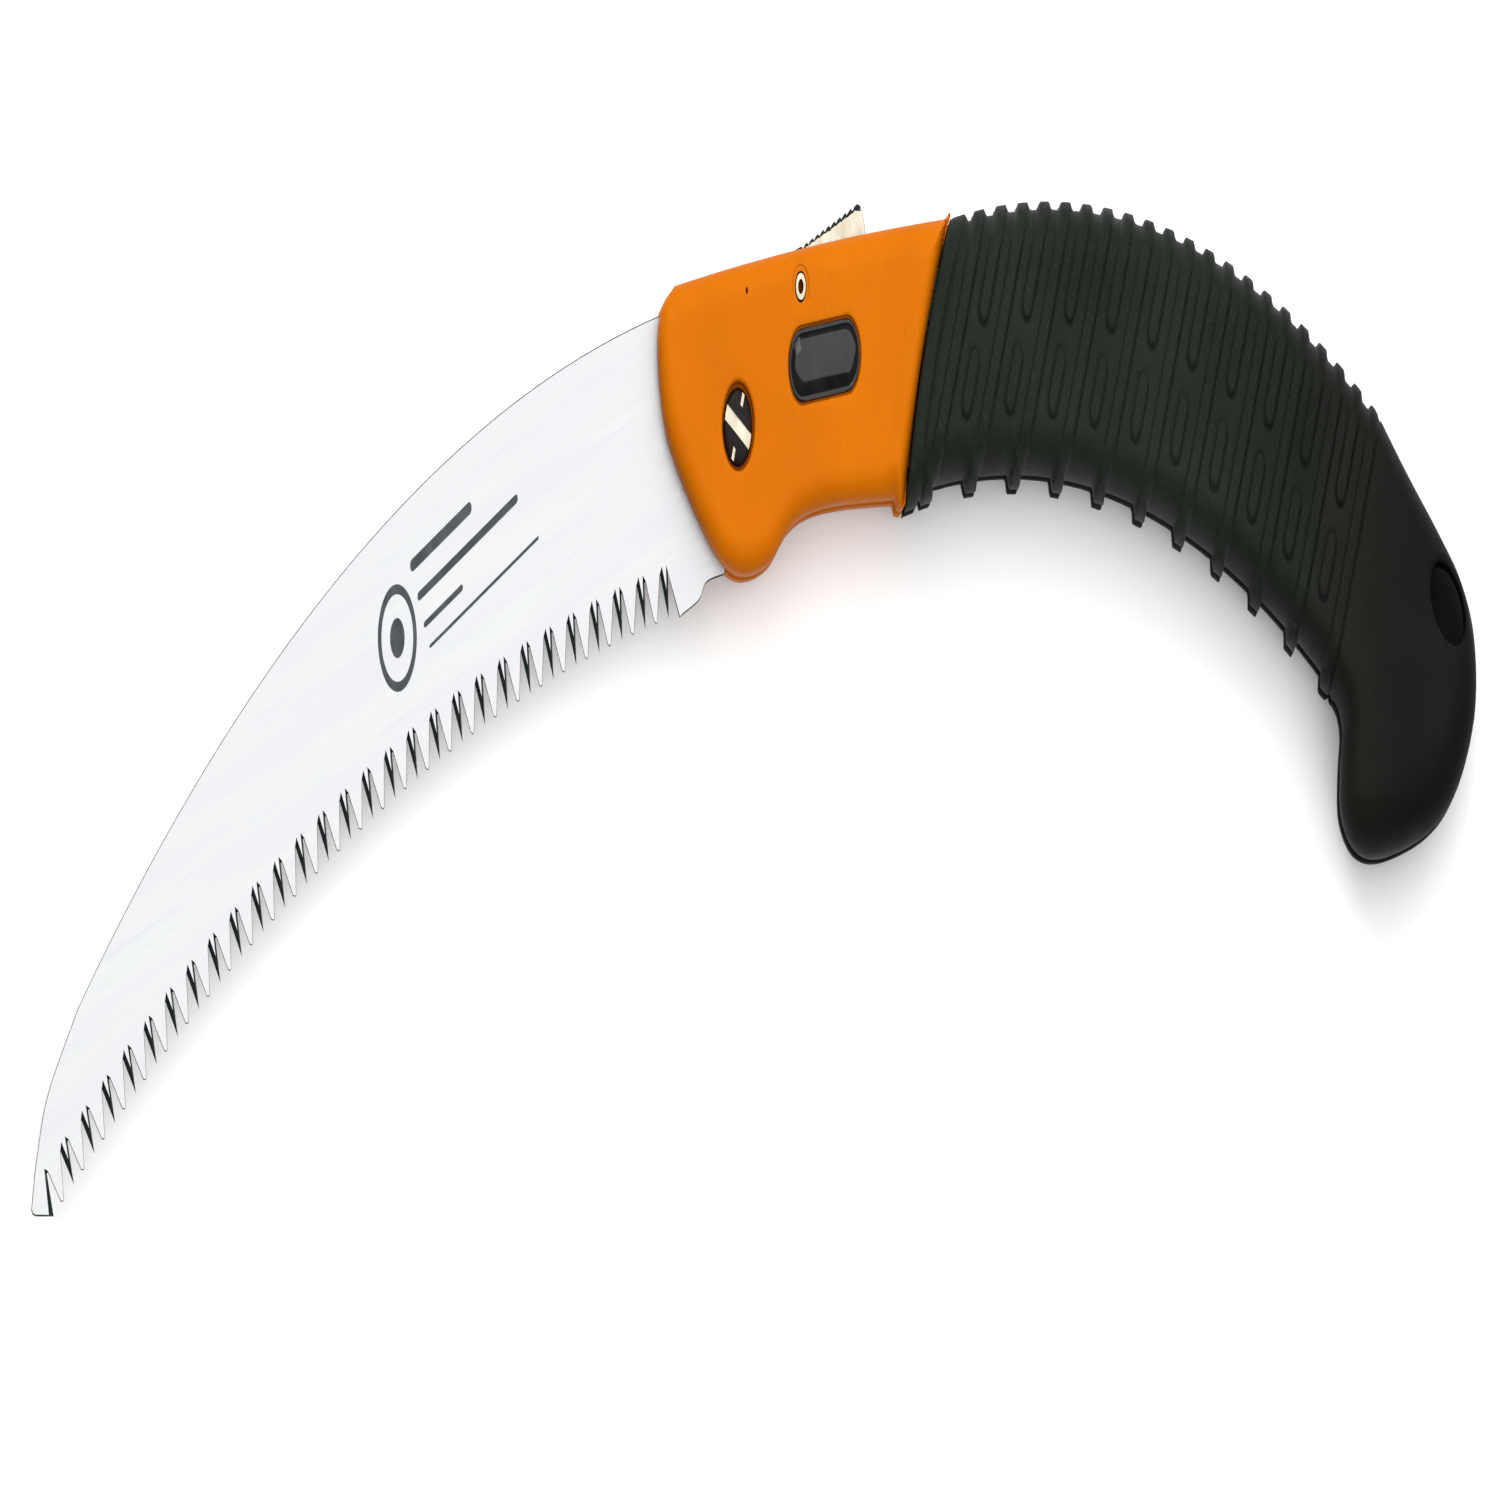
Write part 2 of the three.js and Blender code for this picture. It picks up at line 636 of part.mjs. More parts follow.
// ---- Lock lever ----
function leverSolid() {
  const onNose = (radius, side) => polar(radius, noseAngle).add(polar(side * noseWidth / 2, noseAngle - 90));
  const outline = [
    onNose(noseRoot, -1), onNose(noseReach, -1), onNose(noseReach, 1), onNose(noseRoot, 1),
    ...arc(point(leverPinX, leverPinY), leverBossRadius, -125, -62, 5),
    point(30, 15.4), point(40.6, 18.2), point(42.6, 22.8), point(41.6, 25.8),
    ...serrations(), point(15, 20.6), point(9.4, 18),
  ];
  const body = plate(outline, -plateHalf, plateHalf);
  const pad = plate([
    point(19, 19.7), point(41.8, 20.8), point(42.6, 22.8), point(41.6, 25.8),
    ...serrations(), point(15.4, 20.6),
  ], -leverPadHalfWidth, leverPadHalfWidth);
  return joined([body, pad]).subtract(pin(leverPinX, leverPinY, leverPinRadius + clearance, -tall, tall));
}

// The thumb ramp: saw-tooth steps from its rear edge down to its front.
function serrations() {
  const rear = point(39.6, 26.9);
  const front = point(21.6, 21.9);
  const step = front.clone().sub(rear).divideScalar(serrationCount);
  const points = [];
  for (let i = 0; i < serrationCount; i += 1) {
    const at = rear.clone().addScaledVector(step, i);
    points.push(at, at.clone().addScaledVector(step, 0.75).add(point(0, -0.35)));
  }
  return [...points, front];
}

const leverPin = () => turned(leverPinX, leverPinY, [
  [leverPinBore, -headHalfThickness + 0.2], [leverPinRadius, -headHalfThickness + 0.2],
  [leverPinRadius, headHalfThickness - 0.2], [leverPinBore, headHalfThickness - 0.2],
  [leverPinBore, -headHalfThickness + 0.2],
], 20);

const stopPin = () => pin(stopPinX, stopPinY, stopPinRadius, -stopPinReach, stopPinReach, 16);
const springPin = () => {
  const reach = linerOuterZ + 1.6;
  return pin(springPinX, springPinY, springPinRadius, -reach, reach, 16);
};

// A leaf wrapped round its pin, with a free end under the lever's arm.
function leverSpring() {
  const wrap = springPinRadius + clearance;
  const centre = point(springPinX, springPinY);
  const inner = [...arc(centre, wrap, -150, 100, 12), point(40, 14.2), point(33, 13.7), point(28.5, 13.1)];
  const outer = inner.map((p, i) => {
    const before = inner[Math.max(0, i - 1)];
    const after = inner[Math.min(inner.length - 1, i + 1)];
    const along = after.clone().sub(before).normalize();
    return p.clone().addScaledVector(point(along.y, -along.x), springThickness);
  });
  return plate([...inner, ...outer.reverse()], -plateHalf + clearance, plateHalf - clearance);
}

// ---- Badge ----
function badge(side) {
  const floor = headHalfThickness - badgeRecess + clearance;
  const geometry = new THREE.ExtrudeGeometry(new THREE.Shape(capsule(...badgeEnds(), badgeHeight, 6)), {
    depth: 0.5, bevelThickness: 0.7, bevelSize: 1.4, bevelOffset: -1.4, bevelSegments: 3,
  });
  geometry.translate(0, 0, floor + 0.7);
  return onSide(side, toSolid(geometry));
}

// ---- Assembly ----
const saw = new THREE.Group();

function place(name, solid, material) {
  const mesh = new THREE.Mesh(toGeometry(solid), material);
  mesh.name = name;
  saw.add(mesh);
}

place('blade', bladeSolid(), steel());
place('handle_shell_near', shellSolid(1), orange());
place('handle_shell_far', shellSolid(-1), orange());
place('rubber_grip_near', gripSolid(1), rubber());
place('rubber_grip_far', gripSolid(-1), rubber());
place('liner_near', linerSolid(), zinc());
place('liner_far', mirrored(linerSolid()), zinc());
place('spine_spacer', spacerSolid(), black());
screwPlaces.forEach((at, i) => place(`handle_screw_${i + 1}`, handleScrew(at), zinc()));
place('pivot_screw', pivotScrew(), nickel());
place('pivot_nut', pivotNut(), nickel());
place('pivot_bushing', bushing(), bronze());
place('thrust_washer_near', thrustWasher(1), bronze());
place('thrust_washer_far', thrustWasher(-1), bronze());
place('lock_lever', leverSolid(), nickel());
place('lever_roll_pin', leverPin(), nickel());
place('lever_spring', leverSpring(), springSteel());
place('spring_anchor_pin', springPin(), steel());
place('blade_stop_pin', stopPin(), springSteel());
place('badge_near', badge(1), blackGloss());
place('badge_far', badge(-1), blackGloss());

// The saw is levelled along its length, and lies on its far cheek with its middle over the origin.
const model = new THREE.Group();
model.add(saw);
model.updateMatrixWorld(true);
const bounds = new THREE.Box3().setFromObject(model, true);
saw.position.set(-(bounds.min.x + bounds.max.x) / 2, -(bounds.min.y + bounds.max.y) / 2, -bounds.min.z);

export default model;
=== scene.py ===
import json
import math

import bmesh
import bpy
import numpy as np
from mathutils import Matrix, Vector
from mathutils.geometry import delaunay_2d_cdt


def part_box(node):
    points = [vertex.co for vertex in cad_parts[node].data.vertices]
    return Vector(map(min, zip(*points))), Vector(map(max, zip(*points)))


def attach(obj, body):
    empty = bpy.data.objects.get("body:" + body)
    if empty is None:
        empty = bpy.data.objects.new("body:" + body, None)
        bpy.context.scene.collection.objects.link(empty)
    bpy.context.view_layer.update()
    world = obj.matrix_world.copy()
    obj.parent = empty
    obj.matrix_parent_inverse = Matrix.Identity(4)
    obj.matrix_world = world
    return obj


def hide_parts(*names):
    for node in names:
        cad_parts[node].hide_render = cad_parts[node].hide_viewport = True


# The folding pruning saw lies open on its far cheek. Shapes are drawn in millimetres round the
# blade's pivot: X towards the pommel, Y towards the spine, Z up from the middle plane.
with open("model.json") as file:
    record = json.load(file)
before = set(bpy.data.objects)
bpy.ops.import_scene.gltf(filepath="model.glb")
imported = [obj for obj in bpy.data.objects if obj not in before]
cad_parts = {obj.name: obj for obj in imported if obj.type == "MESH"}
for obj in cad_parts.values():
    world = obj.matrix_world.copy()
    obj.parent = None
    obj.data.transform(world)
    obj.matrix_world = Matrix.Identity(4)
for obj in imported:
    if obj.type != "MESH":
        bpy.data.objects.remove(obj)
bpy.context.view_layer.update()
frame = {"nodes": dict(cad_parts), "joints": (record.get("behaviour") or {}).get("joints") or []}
joints = {joint["name"]: joint for joint in frame["joints"]}
PIVOT = Vector(joints["blade_fold"]["pos_m"])
MM = 0.001


def cad_span(node, axis):
    """The lowest and highest place of a CAD node along an axis, in millimetres round the pivot."""
    low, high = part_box(node)
    return (low[axis] - PIVOT[axis]) / MM, (high[axis] - PIVOT[axis]) / MM


# ---- Sizes, in millimetres ----
BLADE_HALF = cad_span("blade", 2)[1]
TOOTH_LINE_RADIUS = 590.6
TOOTH_LINE_CENTRE = np.array([69.6, -605.6])
TOOTH_LINE_START_X = -22
TOOTH_LINE_END_X = -224
TOOTH_PAIR_PITCH = 7.7
TOOTH_DEPTH = 5.5
TIP_WIDTH = 7.4
BACK_RADIUS = 418.8
BACK_CENTRE_X = 40
TANG_RADIUS = 14.5
TANG_SHOULDER = 17.1
SHOULDER_X = 1.8
BLADE_EDGE = 0.13               # the small chamfer along every edge of the blade
GROUND_EDGE = 0.16              # what is left of the thickness at a ground point
BORE_RADIUS = 4.3
BEVEL_PULL = 3.5                # how far a tooth's ground bevel reaches down its point
BEVEL_ROOT = 0.95               # and how far it reaches into the blade at a gullet
TIP_BEVEL = 1.7                 # the last tooth is ground along its end only
NOSE_ANGLE = 62
NOTCH_HALF_ANGLE = 7.9
NOTCH_DEPTH = 2.4
HUB_SIDES = 32
FOLD_ANGLE = joints["blade_fold"]["range_deg"][1]

CHEEK = 9.5                     # half thickness of the head
GRIP_CHEEK = 13                 # half thickness over the ribs and the pommel
HEAD_SLOT = 1.75
GRIP_SLOT = 2.2
LINER_ROOM = 3.55
HEAD_EDGE = 4.4                 # the head's soft rounding, in from its outline
HEAD_DROP = 3.6
FLARE = 7.5                     # the head swells over this length in front of the rubber
COLLAR_RISE = 2.5
LIP_EDGE = 0.7                  # the head's small rounding along the rubber
LIP_DROP = 0.5
SLOT_LAND = 1.1                 # the wall left round the liners' room
SLOT_CHAMFER = 0.35
SPINE_RADIUS = 244.6
SPINE_CENTRE_X = 101.8
SPINE_START = np.array([71.0, 25.1])
GRIP_LENGTH = 141.8
GRIP_HEIGHT = 37.4
BELLY_SAG = 10.9
HEAD_FOOT = np.array([54.8, -8.2])
GRIP_FOOT_Y = -9.8
GRIP_EDGE = 6.2
POMMEL_EDGE = 10.5
POMMEL_HEADING = -25            # the rounding widens over this length, in this direction
POMMEL_REACH = 30
FRONT_EDGE = 1.1                # the rubber's small rounding along the head
FRONT_DROP = 0.9
FRONT_BAND = (3.2, 4.4)         # the smooth band behind it ends between these distances
GROOVE_DEPTH = 0.16             # a fine groove runs round each rib
GROOVE_OFFSET = 0.4
GROOVE_WIDTH = 0.22
GRIP_DROP = 8.2
CORE_INSET = 4
CORE_HALF = 8.6
CORE_EDGE = 1.2
CORE_REACH = 19                 # the core shows this far past the end of the spine
SPINE_END_HEADING = -26
RIB_HEIGHT = 0.9
BELLY_STEP = 1.7                # how far a full rib's foot stands out from the belly
RIB_WIDTH = 3.4
RIB_PITCH = 7.2
RIB_CROWDING = 0.027            # how the pitch closes up towards the pommel
RIB_LEAN = 26.7
RIB_COUNT = 21
FIRST_RIB = 8.6
SHORT_RIB = 16.2
PAD_OFFSET = 24.2
PAD_LENGTH = 9
LANYARD_SEMI = (6.5, 4.2)
LANYARD_ANGLE = -33
LANYARD_CENTRE = (31.1, -11.1)  # along and out from the spine's end
LANYARD_MOUTH = 1.5             # the rounding round the lanyard eye
SCREW_PLACES = (18, 70, 122)
SPACER_MIDDLE = 5.7             # the screws' depth below the spine
SCREW_FLOOR_RADIUS = 3.38       # the flat floor of each screw's hole in the far grip

RECESS_FLOOR = 6.3
HEAD_RADIUS = 4.7
HEAD_CROWN = 2.6                # the screw head's height above its seat
HEAD_DOME = 0.7                 # how far its dome falls to the rim, and its rim's rounding
SHANK_RADIUS = 2.8
SLOT_HALF = 1.0
SLOT_ANGLE = -25
SLOT_FLOOR = 8.2
CUT_HALF = 0.4                  # the two short cross cuts at the rim
CUT_START = 2.7
ROLL_PIN = np.array([20.6, 16.6])
ROLL_PIN_HOLE = 1.9
STOP_PIN = np.array([2.9, 16.1])
BADGE = np.array([28.3, 7.85])
BADGE_LENGTH = 23.4
BADGE_HEIGHT = 8.8
BADGE_TILT = 5
PLAQUE_RIM = 0.8                # the plaque's raised edge, and its domed middle
PLAQUE_RISE = 1.2
PLAQUE_SEAT = 0.8               # how deep the plaque sits below the cheek
LEVER_PAD_HALF = 3.2


# ---- Plane geometry ----
def polar(radius, angle):
    return np.array([radius * math.cos(math.radians(angle)), radius * math.sin(math.radians(angle))])


def arc(centre, radius, start, end, steps):
    return [centre + polar(radius, start + (end - start) * i / steps) for i in range(steps + 1)]


def bow(start, end, sag, steps):
    """Points along an arc that stands sag to the left of the chord."""
    start, end = np.array(start, float), np.array(end, float)
    half = (end - start) / 2
    length = np.hypot(*half)
    left = np.array([-half[1], half[0]]) / length
    radius = (length**2 + sag**2) / (2 * abs(sag))
    sweep = 2 * math.degrees(math.asin(min(1, length / radius)))
    centre = start + half + left * (sag - math.copysign(radius, sag))
    first = math.degrees(math.atan2(*(start - centre)[::-1]))
    return arc(centre, radius, first, first - math.copysign(sweep, sag), steps)


def smooth(points, steps):
    """A smooth line through given points."""
    p = np.array(points, float)
    p = np.vstack([2 * p[0] - p[1], p, 2 * p[-1] - p[-2]])
    line = []
    for i in range(steps + 1):
        at = min(i * (len(p) - 3) / steps, len(p) - 3 - 1e-9)
        k, t = int(at), at - int(at)
        a, b, c, d = p[k : k + 4]
        cubic = 1.5 * (b - c) + (d - a) / 2
        square = a - 2.5 * b + 2 * c - d / 2
        line.append(b + t * ((c - a) / 2 + t * (square + t * cubic)))
    return line


def is_clockwise(loop):
    return np.sum(loop[:, 0] * np.roll(loop[:, 1], -1) - np.roll(loop[:, 0], -1) * loop[:, 1]) < 0


def resample(points, step):
    """The same closed line with even steps, anticlockwise."""
    p = np.array(points, float)
    if is_clockwise(p):
        p = p[::-1]
    closed = np.vstack([p, p[:1]])
    run = np.concatenate([[0], np.cumsum(np.hypot(*np.diff(closed, axis=0).T))])
    at = np.linspace(0, run[-1], int(run[-1] / step) + 1)[:-1]
    return np.column_stack([np.interp(at, run, closed[:, 0]), np.interp(at, run, closed[:, 1])])


def normals(loop):
    """Unit normals of a closed line, to the left of its direction."""
    along = np.roll(loop, -1, axis=0) - np.roll(loop, 1, axis=0)
    along /= np.hypot(*along.T)[:, None]
    return np.column_stack([-along[:, 1], along[:, 0]])


def inside(places, loops):
    hit = np.zeros(len(places), bool)
    x, y = places.T
    for loop in loops:
        for (x1, y1), (x2, y2) in zip(loop, np.roll(loop, -1, axis=0)):
            if y1 != y2:
                hit ^= ((y1 > y) != (y2 > y)) & (x < x1 + (y - y1) * (x2 - x1) / (y2 - y1))
    return hit


def distance(places, line, closed=True):
    """How far each place is from a line."""
    nearest = np.full(len(places), 1e9)
    ends = np.roll(line, -1, axis=0) if closed else line[1:]
    for a, b in zip(line, ends):
        span = b - a
        share = np.clip((places - a) @ span / max(span @ span, 1e-12), 0, 1)
        nearest = np.minimum(nearest, np.sum((places - a - share[:, None] * span) ** 2, axis=1))
    return np.sqrt(nearest)


def within(ring, loop, margin):
    """The run of a ring's points that stays a margin inside a loop."""
    safe = inside(ring, [loop]) & (distance(ring, loop) > margin)
    if safe.all():
        return ring
    first = -np.flatnonzero(~safe)[-1] - 1
    return np.roll(ring, first, axis=0)[np.roll(safe, first)]


def step_up(value, low, high):
    t = np.clip((value - low) / (high - low), 0, 1)
    return t * t * (3 - 2 * t)


def rounded(depth, edge, drop):
    """How far a rounded edge falls at a distance in from the outline."""
    return drop * (1 - np.sqrt(np.clip(1 - (1 - np.clip(depth / edge, 0, 1)) ** 2, 0, 1)))


def circle(centre, radius, steps=48):
    return np.array(arc(np.array(centre), radius, 0, 360 - 360 / steps, steps - 1))


def capsule(start, end, radius, step=0.6):
    """A closed line round a bar with round ends."""
    along = end - start
    heading = math.degrees(math.atan2(along[1], along[0]))
    far_end = arc(end, radius, heading - 90, heading + 90, 12)
    near_end = arc(start, radius, heading + 90, heading + 270, 12)
    return resample(far_end + near_end, step)


# ---- Meshes ----
def put(name, vertices, faces, body, slot, *nodes, sharp=38):
    """A piece made of (x, y, z) places in millimetres round the pivot."""
    mesh = bpy.data.meshes.new(name)
    mesh.from_pydata([PIVOT + Vector(v) * MM for v in vertices], [], faces)
    bm = bmesh.new()
    bm.from_mesh(mesh)
    bmesh.ops.recalc_face_normals(bm, faces=bm.faces)
    bm.to_mesh(mesh)
    bm.free()
    mesh.shade_smooth()
    mesh.set_sharp_from_angle(angle=math.radians(sharp))
    piece = bpy.data.objects.new(name, mesh)
    bpy.context.scene.collection.objects.link(piece)
    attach(piece, body)
    if nodes:
        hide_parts(*nodes)
    return piece


WITHIN_EDGES = 1                # the triangulation keeps what its outer loop encloses


def surface(loops, extra, creases=(), least=0.12):
    """Triangles over the ground inside the loops, through extra places and along creases.
    A crease is a line that the triangles' edges follow, closed if its ends are near each other."""
    fixed = np.vstack([*loops, *creases])
    free = np.vstack(extra) if len(extra) else np.zeros((0, 2))
    if len(free):
        _, first = np.unique(np.round(free / least), axis=0, return_index=True)
        free = free[np.sort(first)]
        free = free[inside(free, loops)]
        for loop in loops:
            free = free[distance(free, loop) > 0.03]
        for crease in creases:
            free = free[distance(free, crease) > 0.04]
    edges, start = [], 0
    for loop in loops:
        edges += [(start + i, start + (i + 1) % len(loop)) for i in range(len(loop))]
        start += len(loop)
    for crease in creases:
        closed = np.hypot(*(crease[0] - crease[-1])) < 1.5 * np.hypot(*(crease[0] - crease[1]))
        count = len(crease) if closed else len(crease) - 1
        edges += [(start + i, start + (i + 1) % len(crease)) for i in range(count)]
        start += len(crease)
    places = np.vstack([fixed, free])
    made = delaunay_2d_cdt([Vector(p) for p in places], edges, [], WITHIN_EDGES, 1e-6)
    out = np.array([tuple(v) for v in made[0]])
    triangles = np.array(made[2])
    triangles = triangles[~inside(out[triangles].mean(axis=1), loops[1:])]
    moved = {source: i for i, sources in enumerate(made[3]) for source in sources}
    rims, start = [], 0
    for loop in loops:
        rims.append([moved[start + i] for i in range(len(loop))])
        start += len(loop)
    return out, triangles, rims


def relief(loops, top, floor, points=(), floor_points=(), side=1, creases=(), floor_creases=()):
    """A closed solid between two height maps. loops[0] is the outline, and the rest are holes."""
    upper, upper_faces, upper_rims = surface(loops, points, creases)
    lower, lower_faces, lower_rims = surface(loops, floor_points, floor_creases)
    vertices = [(*p, side * z) for p, z in zip(upper, top(upper))]
    vertices += [(*p, side * z) for p, z in zip(lower, floor(lower))]
    count = len(upper)
    faces = [tuple(f) for f in upper_faces] + [tuple(f + count) for f in lower_faces]
    for a, b in zip(upper_rims, lower_rims):
        for i in range(len(a)):
            j = (i + 1) % len(a)
            faces.append((a[i], a[j], b[j] + count, b[i] + count))
    return vertices, faces


def merged(*solids):
    vertices, faces = [], []
    for some_vertices, some_faces in solids:
        faces += [tuple(i + len(vertices) for i in face) for face in some_faces]
        vertices += some_vertices
    return vertices, faces


def rings(loop, depths, inward=True):
    """Places at given depths in from a loop, without those that a tight corner crosses."""
    side = normals(loop) if inward else -normals(loop)
    kept = []
    for depth in depths:
        moved = loop + side * depth
        kept.append(moved[distance(moved, loop) > depth * 0.97])
    return np.vstack(kept)


def round_depths(edge, steps=9):
    return [edge * (1 - math.cos(math.radians(90 * i / steps))) for i in range(1, steps + 1)]


def grid(loop, pitch):
    low, high = loop.min(axis=0), loop.max(axis=0)
    x, y = np.meshgrid(np.arange(low[0], high[0], pitch), np.arange(low[1], high[1], pitch * 0.87))
    x[1::2] += pitch / 2
    return np.column_stack([x.ravel(), y.ravel()])


# ---- The handle's lines ----
SPINE_RISE = math.sqrt(SPINE_RADIUS**2 - (SPINE_START[0] - SPINE_CENTRE_X) ** 2)
SPINE_CENTRE = np.array([SPINE_CENTRE_X, SPINE_START[1] - SPINE_RISE])
SPINE_ANGLE = math.degrees(math.atan2(*(SPINE_START - SPINE_CENTRE)[::-1]))
RIB_DOWN = polar(1, -90 - RIB_LEAN)


def on_spine(along, depth=0.0):
    return SPINE_CENTRE + polar(SPINE_RADIUS - depth, SPINE_ANGLE - math.degrees(along / SPINE_RADIUS))


def beyond_spine(along, out):
    end = on_spine(GRIP_LENGTH)
    outward = (end - SPINE_CENTRE) / SPINE_RADIUS
    return end + outward * out + np.array([outward[1], -outward[0]]) * along


def rubber_front(gap, top, bottom):
    """The slanting line where the rubber starts, from its foot up to the spine."""
    line = np.array(bow((77, 34.1), (53.4, -16.8), -4.2, 120)) + (gap, 0)
    return [p for p in line[::-1] if bottom < p[1] < top]


def head_line():
    lower = [
        (-20.5, 16.9), (-24.8, 14), (-25.6, 8), (-22.9, -0.6), (-15.4, -8.4), (-6.5, -15), (1.2, -17.4),
        (10.4, -16), (17, -11.9), (24, -9.9), (34.5, -8.9), (51.6, -8.3),
    ]
    lip = [(52.2, -9.5), (53.6, -9.7)]
    top = [(69.6, 25.6), (68.9, 25.2), (68.2, 24.9)]
    upper = bow((67.5, 24.8), (-20.5, 16.9), -0.7, 60)
    return resample(smooth(lower, 90) + lip + rubber_front(-0.05, 25.4, -9.6) + top + upper, 0.55)


POMMEL = [
    (0, 0), (12, -2.2), (25.2, -4.2), (34.3, -6.2), (41, -10.4), (45, -18.5), (43.6, -29), (37.5, -37.6),
    (25.5, -46.7), (17.2, -50), (11, -48.4), (8.2, -43.4), (6.8, -38.9), (3.8, -37),
]


def belly_line():
    belly_end = beyond_spine(-0.5, -GRIP_HEIGHT)
    return bow(belly_end, (HEAD_FOOT[0], GRIP_FOOT_Y), -BELLY_SAG, 200)


def grip_line():
    """The grip's outline without its ribs."""
    spine = [on_spine(GRIP_LENGTH * i / 200) for i in range(200)]
    belly = belly_line()
    pommel = smooth([*(beyond_spine(*p) for p in POMMEL), belly[0]], 200)
    return resample(spine + pommel + belly + rubber_front(0.3, 25.0, GRIP_FOOT_Y), 0.45)


def rib_start(i):
    return on_spine(FIRST_RIB + RIB_PITCH * i - RIB_CROWDING * i * i)


def rib_segments():
    """Start and end of each bar's middle line: full ribs, then short ribs and their pads."""
    full, short = [], []
    for i in range(RIB_COUNT):
        start = rib_start(i)
        if i % 2 == 0:
            full.append((start - 4 * RIB_DOWN, start + 60 * RIB_DOWN))
            continue
        half = (PAD_LENGTH - RIB_WIDTH) / 2
        short.append((start - 4 * RIB_DOWN, start + (SHORT_RIB - RIB_WIDTH / 2) * RIB_DOWN))
        short.append((start + (PAD_OFFSET - half) * RIB_DOWN, start + (PAD_OFFSET + half) * RIB_DOWN))
    return full, short


FULL_RIBS, SHORT_RIBS = rib_segments()


def bar_gap(places, bars):
    """How far each place is outside the nearest bar: below 0 inside it."""
    gap = np.full(len(places), 1e9)
    for bar in bars:
        gap = np.minimum(gap, distance(places, np.array(bar), closed=False))
    return gap - RIB_WIDTH / 2


def in_pommel(places):
    """0 among the ribs, rising to 1 on the smooth pommel."""
    last = rib_start(RIB_COUNT - 1)
    across = (places - last) @ np.array([-RIB_DOWN[1], RIB_DOWN[0]])
    return step_up(across, RIB_WIDTH / 2 - 0.6, RIB_WIDTH / 2 + 0.8)


def front_gap(places):
    return distance(places, np.array(rubber_front(0.3, 40, -20)), closed=False)


def ribbed_line():
    """The grip's outline, stepping in between the ribs."""
    base = grip_line()
    gap = np.minimum(bar_gap(base, FULL_RIBS), bar_gap(base, SHORT_RIBS))
    spine_side = distance(base, np.array(belly_line()), False) > GRIP_HEIGHT / 2
    low = np.where(spine_side, step_up(gap, -0.45, 0.5), step_up(bar_gap(base, FULL_RIBS), -0.3, 0.4))
    low *= (1 - in_pommel(base)) * step_up(front_gap(base), 3.4, 4.4)
    reach = np.where(spine_side, RIB_HEIGHT, BELLY_STEP)
    near_front = np.where(spine_side, 1, step_up(front_gap(base), 0, 8))
    return base + normals(base) * (low * reach * near_front)[:, None]


def lanyard_loop(grow=0.0, steps=64):
    turn = math.radians(LANYARD_ANGLE)
    angles = np.linspace(0, 2 * math.pi, steps, endpoint=False)
    x = (LANYARD_SEMI[0] + grow) * np.cos(angles)
    y = (LANYARD_SEMI[1] + grow) * np.sin(angles)
    turned_x = x * math.cos(turn) - y * math.sin(turn)
    turned_y = x * math.sin(turn) + y * math.cos(turn)
    return np.column_stack([turned_x, turned_y]) + beyond_spine(*LANYARD_CENTRE)


# ---- Pieces ----
def side_name(side):
    return "near" if side > 0 else "far"


def badge_ends():
    half = polar((BADGE_LENGTH - BADGE_HEIGHT) / 2, BADGE_TILT)
    return BADGE - half, BADGE + half


def stepped(value, profile):
    """A height that follows (distance, height) pairs outwards from a recess."""
    return np.interp(value, [p[0] for p in profile], [p[1] for p in profile])


def level(z):
    """A height map at one height."""
    return lambda places: np.full(len(places), z)


# (distance, height) pairs: outwards from the middle, or from the badge's own edge
PIVOT_FLOOR = RECESS_FLOOR - CHEEK
PIVOT_RECESS = [(0, PIVOT_FLOOR), (5.25, PIVOT_FLOOR), (5.3, -0.75), (5.42, -0.3), (5.7, -0.07), (6.1, 0)]
PIN_DISH = [(0, -5), (1.85, -5), (1.9, -0.5), (2.1, -0.42), (2.55, -0.38), (2.75, -0.12), (3.0, 0)]
VENT = [(0, -2), (0.36, -2), (0.4, -0.12), (0.55, 0)]
BADGE_RECESS = [(-9, -1.1), (0.25, -1.1), (0.3, -0.35), (0.45, -0.1), (0.75, 0)]
PLAQUE_EDGE = [(0, 0.35), (0.12, 0.62), (0.4, 0.7), (0.65, 0.62), (PLAQUE_RIM, 0.45)]
SCREW_HOLE = [(0, -9), (3.35, -9), (3.4, -1.0), (3.6, -0.45), (4.2, -0.05), (4.6, 0)]


